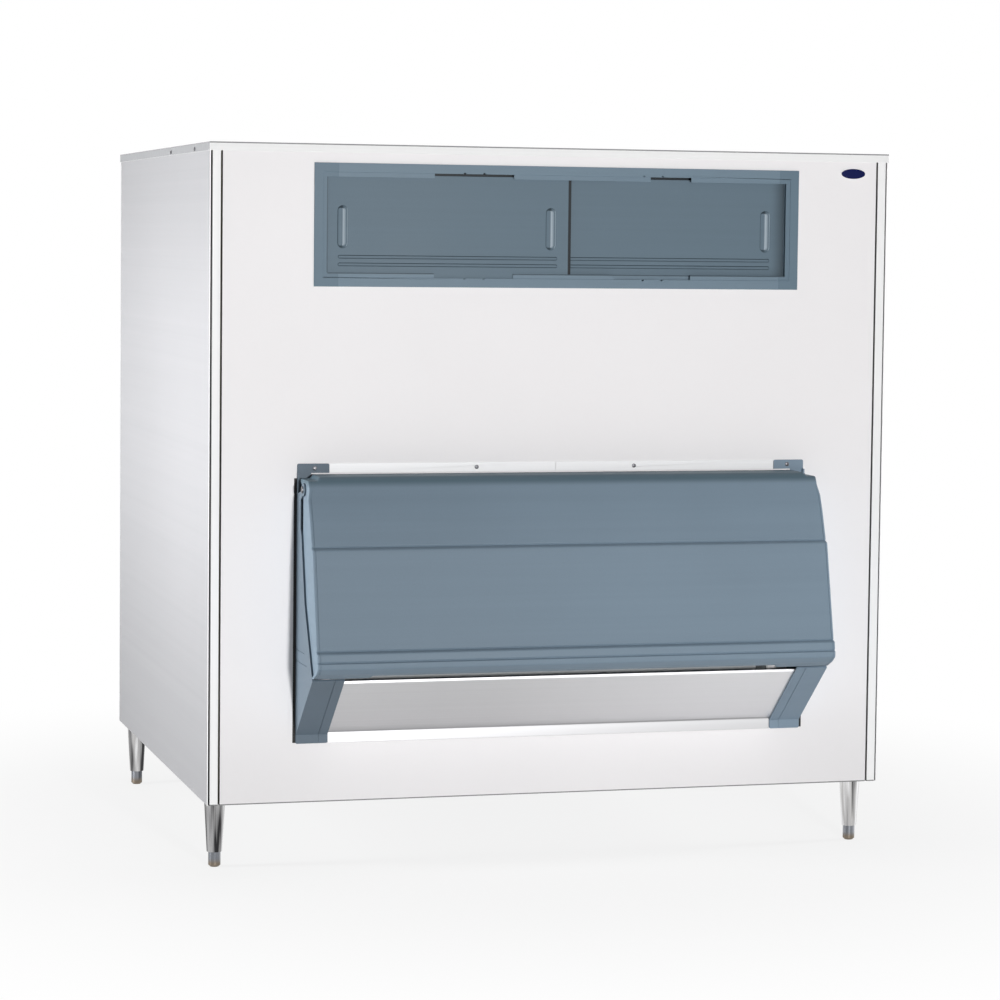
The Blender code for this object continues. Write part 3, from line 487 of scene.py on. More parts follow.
# %% [markdown]
# The hood's top bend, which faces up, gets painted shade. The frame's ends are welded on from a
# darker moulding, its upper tracks get painted shade under the lips, and a thin line of painted
# shade lies along its lower and left lips. Masks by place draw all of these, so the mouldings
# themselves stay plain.

# %% Marks on the hood and the window frame
hood_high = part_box("hood_door")[1]
# Painted shade on the hood's top bend, which faces up.
top_shade_from, top_shade_to = hood_high.z - 0.024, hood_high.z - 0.009
bend = mask_above(hood_finish, "Z", top_shade_from, top_shade_to)
tint_where(hood_finish, bend, (0.078, 0.121, 0.151))

tree = frame_finish.node_tree
frame_low, frame_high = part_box("window_frame")
left_weld, right_weld, weld = frame_low.x + 0.053, frame_high.x - 0.045, 0.0005
ends = math_node(tree, "ADD", mask_below(frame_finish, "X", left_weld - weld, left_weld + weld),
                 mask_above(frame_finish, "X", right_weld - weld, right_weld + weld))
tint_where(frame_finish, ends, (0.104, 0.159, 0.206), 0.70)

front_wall, rear_wall = frame_low.y + 0.0050, frame_low.y + 0.0151
# Painted shade in the upper tracks under the lips.
track_shade_end, middle_z = -0.055, 1.405
front_track = math_node(tree, "MULTIPLY",
                        mask_above(frame_finish, "Y", front_wall - 0.0004, front_wall + 0.0004),
                        mask_below(frame_finish, "X", track_shade_end - 0.005, track_shade_end + 0.005))
rear_track = mask_above(frame_finish, "Y", rear_wall - 0.0003, rear_wall + 0.0003)
upper_half = mask_above(frame_finish, "Z", middle_z - 0.005, middle_z + 0.005)
tracks = math_node(tree, "MAXIMUM", front_track, rear_track)
track_shade = math_node(tree, "MULTIPLY", tracks, upper_half)
tint_where(frame_finish, track_shade, (0.008, 0.014, 0.019))

# A thin line of painted shade along the lower and left lips.
lip_width, line_width = 0.0295, 0.0020
lip_low, lip_left = frame_low.z + lip_width, frame_low.x + lip_width
low_line = math_node(tree, "MULTIPLY",
                     mask_span(frame_finish, "X", lip_left, frame_high.x - lip_width),
                     mask_span(frame_finish, "Z", lip_low - line_width, lip_low))
left_line = math_node(tree, "MULTIPLY",
                      mask_span(frame_finish, "X", lip_left - line_width, lip_left),
                      mask_span(frame_finish, "Z", lip_low, frame_high.z - lip_width))
tint_where(frame_finish, math_node(tree, "MAXIMUM", low_line, left_line), (0.062, 0.090, 0.114))
print("hood and window frame marked")

# %% [markdown]
# On the doors, the long slope of each pull gets a painted highlight, and its steep side and the
# recessed lines get painted shade. The masks follow the way a face looks, so they find every slope
# by themselves. The left door ends in a dark strip of painted shade for the gap between the two
# doors, and the right door gets a painted shadow toward its far end.

# %% Marks on the doors
left_low, left_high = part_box("window_door_left")
right_low, right_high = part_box("window_door_right")
lower_line, upper_line = left_low.z + 0.0309, left_low.z + 0.0471
for finish in door_finishes.values():
    tree = finish.node_tree
    sideways, upward = facing(finish, "X"), facing(finish, "Z")
    # Painted highlight on the long slope of each pull, above the recessed lines.
    slope = math_node(tree, "MULTIPLY", ramp_between(tree, sideways, -0.30, -0.48),
                      ramp_between(tree, sideways, -0.88, -0.70))
    above_lines = mask_above(finish, "Z", upper_line + 0.0056, upper_line + 0.0076)
    tint_where(finish, math_node(tree, "MULTIPLY", slope, above_lines), (0.40, 0.47, 0.53))
    # Painted shade on the faces that look right, up and down: steep sides and recessed lines.
    tint_where(finish, ramp_between(tree, sideways, 0.25, 0.60), (0.035, 0.055, 0.070))
    tint_where(finish, ramp_between(tree, upward, 0.25, 0.60), (0.058, 0.084, 0.104))
    tint_where(finish, ramp_between(tree, upward, -0.20, -0.50), (0.030, 0.046, 0.058))
# Painted shade for the gap between the two doors, at the left door's end.
door_gap_shade = mask_above(door_finishes["left"], "X", left_high.x - 0.0071, left_high.x - 0.0063)
tint_where(door_finishes["left"], door_gap_shade, (0.004, 0.007, 0.010))
# Painted shadow of the frame's jamb toward the right door's far end.
jamb_shadow = mask_above(door_finishes["right"], "X", right_high.x - 0.0472, right_high.x + 0.0048)
tint_where(door_finishes["right"], jamb_shadow, (0.020, 0.032, 0.040))
print("doors marked")

# %% [markdown]
# ### Coated and bare steel
#
# The front panel is sheet steel in a white baked coat, smooth with a slight orange peel. The
# sides, posts and lid are brushed steel under a clear satin coat: bare metal there would mirror a
# lamp and turn plain white, while satin keeps its tone from every side. The back, the base, the
# chute, the legs and the screws are bare brushed metal.

# %% Finish: white coat and brushed steels
def white_coat_finish():
    made, tree, shader = new_finish("white_coat_finish", 0.55, specular=0.25)
    wear = place_group(tree, cloudy_wear, Patch_Size=1.4, Speck_Size=260.0, Speck_Share=0.15)
    colour = mix_colour(tree, wear.outputs["Mask"], (0.855, 0.838, 0.846, 1.0),
                        (0.885, 0.868, 0.876, 1.0))
    tree.links.new(colour, shader.inputs["Base Color"])
    grain = place_group(tree, pebble_grain, Scale=260.0, Waviness=0.8)
    add_bump(tree, shader, grain.outputs["Height"], 0.05, 0.0004)
    return made


def brushed_steel(name, dark, light, roughness, stretch, metallic=1.0, bump=0.04, specular=0.5):
    """Steel between two colours, with lines along the axis that is stretched least."""
    made, tree, shader = new_finish(name, roughness, metallic=metallic, specular=specular)
    lines = place_group(tree, brushed_lines, Stretch_X=stretch[0], Stretch_Y=stretch[1],
                        Stretch_Z=stretch[2])
    wear = place_group(tree, cloudy_wear, Patch_Size=1.6, Speck_Size=90.0, Speck_Share=0.1)
    both = math_node(tree, "ADD", math_node(tree, "MULTIPLY", lines.outputs["Lines"], 0.45),
                     math_node(tree, "MULTIPLY", wear.outputs["Mask"], 0.55))
    tree.links.new(mix_colour(tree, both, dark + (1.0,), light + (1.0,)), shader.inputs["Base Color"])
    vary_roughness(tree, shader, lines.outputs["Broad"], roughness - 0.04, roughness + 0.04)
    add_bump(tree, shader, lines.outputs["Lines"], bump, 0.0003)
    return made


along_width, along_height, down_tube = (0.1, 90.0, 90.0), (90.0, 90.0, 0.1), (22.0, 22.0, 0.2)
coat_finish = white_coat_finish()
side_finish = brushed_steel("side_finish", (0.415, 0.416, 0.432), (0.437, 0.438, 0.455), 0.55,
                            (1.0, 0.08, 50.0), metallic=0.0, bump=0.010, specular=0.25)
cover_finish = brushed_steel("cover_finish", (0.86, 0.86, 0.86), (0.91, 0.91, 0.91), 0.58,
                             along_width, metallic=0.0, specular=0.2)
post_finish = brushed_steel("post_finish", (0.88, 0.88, 0.88), (0.93, 0.93, 0.93), 0.55,
                            along_height, metallic=0.0, specular=0.3)
strip_finish = brushed_steel("strip_finish", (0.82, 0.82, 0.83), (0.88, 0.88, 0.89), 0.50,
                             along_width, metallic=0.1, specular=0.3)
rear_finish = brushed_steel("rear_finish", (0.60, 0.61, 0.63), (0.65, 0.66, 0.68), 0.42,
                            (50.0, 1.0, 0.08), bump=0.015)
base_finish = brushed_steel("base_finish", (0.46, 0.47, 0.48), (0.55, 0.56, 0.57), 0.48,
                            (0.1, 120.0, 1.0))
chute_finish = brushed_steel("chute_finish", (0.53, 0.53, 0.54), (0.60, 0.60, 0.61), 0.36,
                             along_width)
leg_finish = brushed_steel("leg_finish", (0.36, 0.36, 0.37), (0.62, 0.61, 0.60), 0.20, down_tube)
foot_finish = brushed_steel("foot_finish", (0.16, 0.17, 0.19), (0.26, 0.27, 0.29), 0.30, down_tube)
screw_finish = brushed_steel("screw_finish", (0.12, 0.12, 0.13), (0.20, 0.20, 0.21), 0.38,
                             (90.0, 90.0, 90.0))
print("steels made")

# %% [markdown]
# The side panels get painted shade low down, under the lid and toward the back. The lid's ends
# get painted shade, darker than its front, and its top bend a thin line of painted shade. The
# flanges at the back are left bare and brushed, as the rear panel is.

# %% Marks on the sides and the lid
def shade_side(finish):
    # Painted shade low down, under the lid and toward the back.
    side_shade = (0.197, 0.198, 0.207)
    tint_where(finish, mask_below(finish, "Z", 0.05, 0.95), side_shade, 0.70)
    tint_where(finish, mask_above(finish, "Z", 1.10, 1.60), side_shade, 0.42)
    tint_where(finish, mask_above(finish, "Y", -0.50, 0.72), side_shade, 0.22)


def shade_lid(finish):
    tree = finish.node_tree
    lid_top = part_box("top_cover")[1].z
    # Painted shade on the lid's ends, which face sideways.
    ends = ramp_between(tree, math_node(tree, "ABSOLUTE", facing(finish, "X")), 0.55, 0.85)
    tint_where(finish, ends, (0.275, 0.28, 0.29))
    # A thin line of painted shade along the lid's top bend.
    bend = math_node(tree, "MULTIPLY", mask_above(finish, "Z", lid_top - 0.0032, lid_top - 0.0022),
                     ramp_between(tree, facing(finish, "Z"), 0.95, 0.75))
    tint_where(finish, bend, (0.26, 0.26, 0.27))


def bare_back(finish):
    tree = finish.node_tree
    behind = ramp_between(tree, facing(finish, "Y"), 0.50, 0.80)
    tint_where(finish, behind, (0.60, 0.61, 0.63))
    tree.links.new(behind, tree.nodes["Principled BSDF"].inputs["Metallic"])


shade_side(side_finish)
shade_lid(cover_finish)
for finish in (side_finish, cover_finish):
    bare_back(finish)
print("sides and lid marked")

# %% [markdown]
# Painted reflections run down the legs as bright and dark stripes, with a painted shadow at the
# top of each leg; the feet get the same stripes and a warm painted reflection at the floor. The
# chute gets a painted reflection that brightens it to the right, but not on the lip at its foot.
# The white coat darkens toward the floor, and a line of painted shade lies along the bottom edge
# of the front panel and the posts.

# %% Marks on legs, feet, chute and front
def paint_tube_reflections(finish, dark, light, top):
    tree = finish.node_tree
    stripes = place_group(tree, brushed_lines, Stretch_X=9.0, Stretch_Y=9.0, Stretch_Z=0.15)
    # Painted reflections as dark and bright stripes, and a painted shadow at the top.
    tint_where(finish, ramp_between(tree, stripes.outputs["Lines"], 0.50, 0.20), dark)
    tint_where(finish, ramp_between(tree, stripes.outputs["Lines"], 0.62, 0.85), light)
    tint_where(finish, mask_above(finish, "Z", top - 0.012, top), (0.05, 0.05, 0.05))


body_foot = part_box("front_panel")[0].z
chute_lip_top = 0.3005
paint_tube_reflections(leg_finish, (0.035, 0.035, 0.037), (0.92, 0.92, 0.93), body_foot + 0.001)
paint_tube_reflections(foot_finish, (0.06, 0.065, 0.075), (0.42, 0.43, 0.46), 0.060)
# A warm painted reflection at the bottom of each foot.
tint_where(foot_finish, mask_below(foot_finish, "Z", 0.006, 0.020), (0.20, 0.165, 0.13))
# Painted reflection that brightens the chute toward the right.
tint_where(chute_finish, mask_above(chute_finish, "X", -0.35, 0.55), (0.84, 0.84, 0.86), 0.62)
# The lip at the chute's foot keeps the darker tone, without the painted reflection.
lip = mask_below(chute_finish, "Z", chute_lip_top - 0.0005, chute_lip_top + 0.0005)
tint_where(chute_finish, lip, (0.53, 0.53, 0.54))
# The white coat darkens toward the floor.
tint_where(coat_finish, mask_below(coat_finish, "Z", 0.15, 0.42), (0.50, 0.495, 0.50), 0.20)
# Painted shade along the bottom edge of the front panel and the posts.
for finish in (coat_finish, post_finish):
    bottom_shade = mask_below(finish, "Z", body_foot + 0.0022, body_foot + 0.0030)
    tint_where(finish, bottom_shade, (0.22, 0.22, 0.22))
# Painted seam shade and highlights on the coat, the posts and the side panels.
for finish in (coat_finish, post_finish, side_finish):
    paint_seam_shade(finish)
print("legs, feet, chute and front marked")

# %% [markdown]
# ### Badge enamel and rigid foam
#
# The badge is left blank: a domed oval in dark blue enamel inside a pale rim. The foam between
# the skins only shows where the bin is cut open, but it still gets its own open-celled finish.

# %% Finish: enamel, rim and foam
def speckled(name, dark, light, roughness, size, strength, distance, specular=0.5):
    made, tree, shader = new_finish(name, roughness, specular=specular)
    wear = place_group(tree, cloudy_wear, Patch_Size=size / 6, Speck_Size=size, Speck_Share=0.5)
    tree.links.new(mix_colour(tree, wear.outputs["Mask"], dark + (1.0,), light + (1.0,)),
                   shader.inputs["Base Color"])
    grain = place_group(tree, pebble_grain, Scale=size, Waviness=0.2)
    add_bump(tree, shader, grain.outputs["Height"], strength, distance)
    return made


enamel_finish = speckled("enamel_finish", (0.002, 0.005, 0.055), (0.004, 0.009, 0.075),
                         roughness=0.30, size=300.0, strength=0.03, distance=0.0003, specular=0.12)
rim_finish = speckled("rim_finish", (0.93, 0.93, 0.94), (0.97, 0.97, 0.98),
                      roughness=0.30, size=300.0, strength=0.03, distance=0.0003)
foam_finish = speckled("foam_finish", (0.40, 0.33, 0.20), (0.50, 0.42, 0.27),
                       roughness=0.90, size=500.0, strength=0.5, distance=0.001)
# The foam at the bottom of the seams gets painted shade.
paint_seam_shade(foam_finish)
print("enamel, rim and foam made")

# %% [markdown]
# ## Rolled edges
#
# No folded or moulded edge is perfectly sharp: it is rolled, and the roll catches a thin line of
# light. The solids have true edges only, so each piece is copied and a Bevel modifier rounds
# every corner by the radius that its material would have. The copy stands for the solid and
# rides on the same body.
#
# A rounded edge only looks right if the flat faces beside it stay flat. Blender shades a corner
# from the faces around it, so here each flat region counts by its whole area: beside a narrow
# roll the broad sheet always wins.

# %% Hand a piece over to the frame
def settle(piece, node, finish):
    """Give a piece its finish and its body, and hide the solid that it stands for."""
    piece.data.materials.clear()
    piece.data.materials.append(finish)
    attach(piece, nodes[node]["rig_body"])
    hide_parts(node)
    return piece


def new_object(name, work):
    """An object in the scene from a finished bmesh."""
    mesh = bpy.data.meshes.new(name)
    work.to_mesh(mesh)
    work.free()
    made = bpy.data.objects.new(name, mesh)
    scene.collection.objects.link(made)
    return made


def apply_modifiers(piece):
    """Turn the shape that the modifiers give into the piece's own mesh."""
    graph = bpy.context.evaluated_depsgraph_get()
    graph.update()
    mesh = bpy.data.meshes.new_from_object(piece.evaluated_get(graph))
    piece.modifiers.clear()
    piece.data = mesh


print("frame helpers ready")

# %% Shade flat faces flat and rolls round
def flat_regions(work):
    """The area of the flat region that each face belongs to, by face index."""
    areas = {}
    for seed in work.faces:
        if seed.index in areas:
            continue
        region, waiting = [], [seed]
        areas[seed.index] = 0.0
        while waiting:
            face = waiting.pop()
            region.append(face)
            for edge in face.edges:
                for other in edge.link_faces:
                    if other.index not in areas and other.normal.dot(face.normal) > 0.99998:
                        areas[other.index] = 0.0
                        waiting.append(other)
        total = sum(face.calc_area() for face in region)
        for face in region:
            areas[face.index] = total
    return areas


def shade_evenly(mesh, limit=52):
    """Corner normals that lean on the largest flat region around each corner."""
    work = bmesh.new()
    work.from_mesh(mesh)
    work.normal_update()
    areas = flat_regions(work)
    reach = math.cos(math.radians(limit))
    normals = []
    for face in work.faces:
        for loop in face.loops:
            total = Vector((0.0, 0.0, 0.0))
            for other in loop.vert.link_faces:
                if other.normal.dot(face.normal) > reach:
                    total += other.normal * areas[other.index]
            normals.append(total.normalized() if total.length > 0 else face.normal.copy())
    work.free()
    mesh.shade_smooth()
    mesh.normals_split_custom_set([tuple(n) for n in normals])


print("shading helper ready")

# %% Copy a solid and round its edges
def copy_of(node):
    """A copy of a solid's mesh, with the points that lie on each other joined."""
    piece = bpy.data.objects.new(node + "_piece", nodes[node].data.copy())
    scene.collection.objects.link(piece)
    work = bmesh.new()
    work.from_mesh(piece.data)
    bmesh.ops.remove_doubles(work, verts=work.verts, dist=0.00002)
    work.to_mesh(piece.data)
    work.free()
    return piece


def round_ears(piece, places, radius):
    """Round the corners of a plate, seen from the front, at the given X and Z places."""
    work = bmesh.new()
    work.from_mesh(piece.data)
    picked = []
    for edge in work.edges:
        first, second = (vert.co for vert in edge.verts)
        along_y = abs(first.x - second.x) + abs(first.z - second.z) < 0.0002
        near = any(math.hypot(first.x - x, first.z - z) < 0.0015 for x, z in places)
        if along_y and near:
            picked.append(edge)
    bmesh.ops.bevel(work, geom=picked, offset=radius, segments=5, affect="EDGES", profile=0.5)
    work.to_mesh(piece.data)
    work.free()
    print(piece.name, "corners rounded:", len(picked))


def fill_flat(piece, axis, depth):
    """Fill a flat face again, between its outline and the outlines of its openings."""
    work = bmesh.new()
    work.from_mesh(piece.data)
    flat = {face for face in work.faces
            if all(abs(vert.co[axis] - depth) < 0.00003 for vert in face.verts)}
    outward = Vector((0.0, 0.0, 0.0))
    for face in flat:
        outward += face.normal * face.calc_area()
    outline = {edge for face in flat for edge in face.edges
               if sum(other in flat for other in edge.link_faces) == 1}
    bmesh.ops.delete(work, geom=list(flat), context="FACES")
    made = bmesh.ops.triangle_fill(work, edges=[edge for edge in outline if edge.is_valid],
                                   use_beauty=True, normal=outward.normalized())
    faces = [item for item in made["geom"] if isinstance(item, bmesh.types.BMFace)]
    for face in faces:
        if face.normal.dot(outward) < 0:
            face.normal_flip()
    print(piece.name, "flat face filled again, m2:", round(outward.length, 4), "->",
          round(sum(face.calc_area() for face in faces), 4))
    work.to_mesh(piece.data)
    work.free()
    shade_evenly(piece.data)


def roll_edges(piece, radius, segments=2):
    """Round every edge that turns by more than 30 degrees."""
    bevel = piece.modifiers.new("rolled edges", "BEVEL")
    bevel.width = radius
    bevel.segments = segments
    bevel.limit_method = "ANGLE"
    bevel.angle_limit = math.radians(30)
    bevel.miter_outer = "MITER_ARC"
    bevel.use_clamp_overlap = True
    apply_modifiers(piece)
    shade_evenly(piece.data)


def rolled(node, finish, radius, segments=2):
    """A solid's copy with rolled edges and a finish, standing for the solid."""
    piece = copy_of(node)
    roll_edges(piece, radius, segments)
    return settle(piece, node, finish)


print("edge tools ready")

# %% [markdown]
# ## The cabinet
#
# The front panel is a pan with a folded rim; the side panels, rear panel, posts and lid are
# folded too. A bend in thin sheet is nearly sharp, so these get rolls of 0.5 to 0.9 mm, the larger
# ones toward the front, and the moulded liner gets a wider one. The bevel leaves long thin
# triangles in the broad front and in the lid's ends, and those that fold over would show as lines,
# so these faces are filled again from their outlines.

# %% Cabinet pieces
front_piece = rolled("front_panel", coat_finish, 0.0008)
fill_flat(front_piece, 1, front_y)
for side in ("left", "right"):
    rolled("side_panel_" + side, side_finish, 0.0006)
    rolled("corner_post_" + side, post_finish, 0.0009)
rolled("rear_panel", rear_finish, 0.0005)
rolled("base_pan", base_finish, 0.0005)
lid_piece = rolled("top_cover", cover_finish, 0.0009)
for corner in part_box("top_cover"):
    fill_flat(lid_piece, 0, corner.x)
rolled("drop_opening_trim", liner_finish, 0.0006)
rolled("liner", liner_finish, 0.0012)
rolled("foam_insulation", foam_finish, 0.0005, 1)
for side in ("left", "right"):
    rolled("header_strip_" + side, strip_finish, 0.0005)
rolled("ice_chute", chute_finish, 0.0006)
print("cabinet dressed")

# %% [markdown]
# ## Window frame
#
# The frame is one moulding with two tracks behind its lips. Short notches in the lips let the
# doors be lifted out, and a pair of small nicks marks the middle of each notch. The solid has all
# of these already, so it is copied and only its edges are rolled.

# %% Window frame piece
rolled("window_frame", frame_finish, 0.0006)
print("window frame dressed")

# %% [markdown]
# ## Sliding doors
#
# Each door is a moulded board with two finger pulls and two shallow lines along the bottom. A
# pull is a scoop: its outer wall drops steeply and its other wall rises in a long slope that the
# fingers press against, and that slope catches the light. A plain pocket cut into the board has
# no such slope, so the doors are modelled again. Each scoop and line is a stack of rings that
# sinks from the face, and the flat face is filled around them.

# %% Rings for pulls and lines
def slot_ring(centre, half_width, half_length, upright, steps=7):
    """Points round a slot with round ends, in the X and Z of the board's face."""
    bend = min(half_width, half_length)
    straight = half_length - bend
    ring = []
    for end, start in ((1, 0.0), (-1, math.pi)):
        for step in range(steps + 1):
            angle = start + math.pi * step / steps
            across = bend * math.cos(angle)
            along = bend * math.sin(angle) + end * straight
            offset = (across, along) if upright else (along, -across)
            ring.append((centre[0] + offset[0], centre[1] + offset[1]))
    return ring


def add_ring(work, ring, y):
    """Points of a ring, given as X and Z, at one depth."""
    return [work.verts.new((x, y, z)) for x, z in ring]


def join_rings(work, first, second):
    """A band of four-sided faces between two rings with as many points."""
    count = len(first)
    for i in range(count):
        j = (i + 1) % count
        work.faces.new((first[i], first[j], second[j], second[i]))


print("points in a slot:", len(slot_ring((0.0, 0.0), 0.01, 0.04, True)))

# %% Scoops in a face
def add_scoop(work, front, centre, upright, levels):
    """Sink a slot into the face; each level is depth, half width, half length and side shift."""
    rings = []
    for depth, half_width, half_length, shift in levels:
        place = (centre[0] + shift, centre[1])
        rings.append(add_ring(work, slot_ring(place, half_width, half_length, upright), front + depth))
    for outer, inner in zip(rings, rings[1:]):
        join_rings(work, outer, inner)
    work.faces.new(rings[-1])
    return rings[0]


def fill_face(work, rings):
    """Fill the flat face between the first ring and the others inside it."""
    edges = []
    for ring in rings:
        for i, vert in enumerate(ring):
            edges.append(work.edges.get((vert, ring[i - 1])) or work.edges.new((vert, ring[i - 1])))
    bmesh.ops.triangle_fill(work, edges=edges, use_beauty=True, normal=(0.0, -1.0, 0.0))


pull_levels = [(0.0, 0.0113, 0.0460, 0.0), (0.0003, 0.0107, 0.0454, 0.0), (0.0011, 0.0102, 0.0449, 0.0),
               (0.0014, 0.0082, 0.0432, -0.0018), (0.0046, 0.0055, 0.0412, -0.0037),
               (0.0054, 0.0038, 0.0392, -0.0042)]


def line_levels(half):
    """The levels of a recessed line of a given half length."""
    return [(0.0, 0.0040, half, 0.0), (0.0003, 0.0036, half - 0.0004, 0.0),
            (0.0015, 0.0028, half - 0.0012, 0.0), (0.0018, 0.0018, half - 0.0022, 0.0)]


print("a pull is", pull_levels[-1][0], "m deep, a line", line_levels(0.2)[-1][0])

# %% A board with pulls and lines
def board_rings(work, low, high, edge):
    """Rings of a board from its front face over the rolled edge to its back."""
    rings = []
    for inset, depth in ((edge, 0.0), (edge / 4, edge / 4), (0.0, edge), (0.0, high.y - low.y)):
        left, right = low.x + inset, high.x - inset
        foot, top = low.z + inset, high.z - inset
        corners = ((left, foot), (right, foot), (right, top), (left, top))
        rings.append(add_ring(work, corners, low.y + depth))
    for outer, inner in zip(rings, rings[1:]):
        join_rings(work, outer, inner)
    work.faces.new(rings[-1])
    return rings


def build_door(side, pulls, line_span):
    """A door with a pull at each given X and two lines across a span of X."""
    node = "window_door_" + side
    low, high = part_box(node)
    work = bmesh.new()
    holes = [board_rings(work, low, high, 0.0012)[0]]
    for x in pulls:
        holes.append(add_scoop(work, low.y, (x, (low.z + high.z) / 2), True, pull_levels))
    middle, half = sum(line_span) / 2, (line_span[1] - line_span[0]) / 2
    for z in (lower_line, upper_line):
        holes.append(add_scoop(work, low.y, (middle, z), False, line_levels(half)))
    fill_face(work, holes)
    bmesh.ops.recalc_face_normals(work, faces=work.faces)
    piece = new_object(node + "_piece", work)
    shade_evenly(piece.data)
    print(node, "faces:", len(piece.data.polygons))
    return settle(piece, node, door_finishes[side])


build_door("left", (left_low.x + 0.046, left_high.x - 0.046),
           (left_low.x + 0.036, left_high.x - 0.030))
build_door("right", (right_low.x + 0.032, right_high.x - 0.056),
           (right_low.x + 0.036, right_high.x - 0.044))

# %% [markdown]
# ## Hood
#
# The hood is a thin plastic shell made in one pull over a mould, so every fold in it is round and
# the wall stays about 4 mm thick. It could be a block with bevelled corners, but then the soft
# band of shade under each fold would be missing. Here its side view is drawn once as a path with
# rounded corners, repeated at many places across the width, and joined to a second layer inside.
# Toward both ends the path drops to a small shoulder, and a rim stands out beside the face. The
# path is cut into short steps where it is straight, so that the shell's faces stay even.

# %% A path with rounded corners
def rounded_path(knots):
    """Points along an open path; each knot is reach, height, rounding and steps of the round."""
    points = [Vector(knots[0][:2])]
    for before, knot, after in zip(knots, knots[1:], knots[2:]):
        corner = Vector(knot[:2])
        back = Vector(before[:2]) - corner
        ahead = Vector(after[:2]) - corner
        reach = min(knot[2] / math.tan(back.angle(ahead) / 2), 0.45 * back.length,
                    0.45 * ahead.length)
        start = corner + back.normalized() * reach
        end = corner + ahead.normalized() * reach
        for step in range(knot[3] + 1):
            t = step / knot[3]
            points.append(start.lerp(corner, t).lerp(corner.lerp(end, t), t))
    points.append(Vector(knots[-1][:2]))
    return points


def split_runs(path, counts):
    """The path with each run cut into a given number of steps."""
    fine = [path[0]]
    for first, second, count in zip(path, path[1:], counts):
        fine += [first.lerp(second, (step + 1) / count) for step in range(count)]
    return fine


def share_along(path):
    """How far along the path each point lies, from 0 to 1."""
    travelled = [0.0]
    for first, second in zip(path, path[1:]):
        travelled.append(travelled[-1] + (second - first).length)
    return [t / travelled[-1] for t in travelled]


def point_at(path, share):
    """The point that lies a share of the way along the path."""
    shares = share_along(path)
    for i in range(1, len(path)):
        if share <= shares[i] + 0.000001:
            t = (share - shares[i - 1]) / max(shares[i] - shares[i - 1], 0.000001)
            return path[i - 1].lerp(path[i], min(max(t, 0.0), 1.0))
    return path[-1]


print("path helpers ready")

# %% The side view of the hood
hood_top, wall = round(hood_high.z, 4), 0.004
brow_reach, brow_height, brow_foot = 0.1018, 0.827, 0.814


def hood_knots(drop, corner):
    """The hood's side view as reach ahead of the front and height, with its top lowered by drop."""
    top = hood_top - drop
    bend_reach = brow_reach - 0.55 * (top - brow_height)
    return [(0.018, top, 0, 1), (bend_reach, top, corner, 9), (brow_reach, brow_height, 0.05, 2),
            (0.1288, 0.7688, 0.3, 3), (0.1498, 0.7105, 0.0045, 4), (0.1476, 0.7068, 0.0012, 2),
            (0.1598, 0.7025, 0.0060, 4), (0.2065, 0.4985, 0.0040, 4), (0.2043, 0.4952, 0.0010, 2),
            (0.2145, 0.4915, 0.0045, 4), (0.2165, 0.4765, 0.0035, 4), (0.2143, 0.4732, 0.0010, 2),
            (0.2190, 0.4715, 0.0020, 3), (0.2190, 0.4600, 0.0060, 4), (0.2020, 0.4475, 0.0080, 3),
            (0.1756, 0.4355, 0, 1)]


plain_path = rounded_path(hood_knots(0.0, 0.025))
counts = [max(1, math.ceil((b - a).length / 0.03)) for a, b in zip(plain_path, plain_path[1:])]
plain_path = split_runs(plain_path, counts)
low_path = split_runs(rounded_path(hood_knots(0.008, 0.010)), counts)
wall_back = [Vector(p) for p in ((0.018, 0.835), (0.046, 0.822), (0.046, 0.729), (0.074, 0.583),
                                 (0.150, 0.437))]
shares = share_along(plain_path)
back_points = [point_at(wall_back, share) for share in shares]
inward = []
for share in shares:
    run = point_at(plain_path, min(share + 0.015, 1.0)) - point_at(plain_path, max(share - 0.015, 0.0))
    inward.append(Vector((run.y, -run.x)).normalized())
print("points in the side view:", len(plain_path))

# %% [markdown]
# The hood keeps one section across most of its width. Near each end the section drops to the
# shoulder, and between the ends the bottom edge is raised a little, so that fingers can take hold
# of it. Each row across is one closed loop: the face, the right end with its rim and groove, the
# inside and the left end.

# %% Places across the hood
rim_x, wall_x, inside_x = round(hood_high.x, 4), 0.5682, 0.5642
reach_x = 0.5580
shoulder_in, shoulder_out = 0.5402, 0.5502
grip_in, grip_out, grip_height = 0.4480, 0.4520, 0.4415
steps_across = 44
places = {round(reach_x * (2 * step / steps_across - 1), 5) for step in range(steps_across + 1)}
for low, high, steps in ((shoulder_in, shoulder_out, 4), (grip_in, grip_out, 3)):
    for step in range(steps + 1):
        x = round(low + (high - low) * step / steps, 4)
        places |= {-x, x}
places = sorted(places)
print("places across the hood:", len(places))

# %% Rows across the hood
def eased(value, low, high):
    """A soft rise from 0 to 1 between two limits."""
    t = min(max((value - low) / (high - low), 0.0), 1.0)
    return t * t * (3 - 2 * t)


def hood_point(i, x):
    """Outside of the hood: reach and height of point i of the side view at one X."""
    place = plain_path[i].lerp(low_path[i], eased(abs(x), shoulder_in, shoulder_out))
    if i == len(plain_path) - 1:
        above, last = plain_path[i - 1], plain_path[i]
        raised = point_at([above, last], (above.y - grip_height) / (above.y - last.y))
        place = place.lerp(raised, eased(-abs(x), -grip_out, -grip_in))
    return place


def through_wall(i, toward, length):
    """How far to go from the outside toward the back to come out inside the wall."""
    return min(wall / max(toward.dot(inward[i]), 0.35), 0.5 * length)


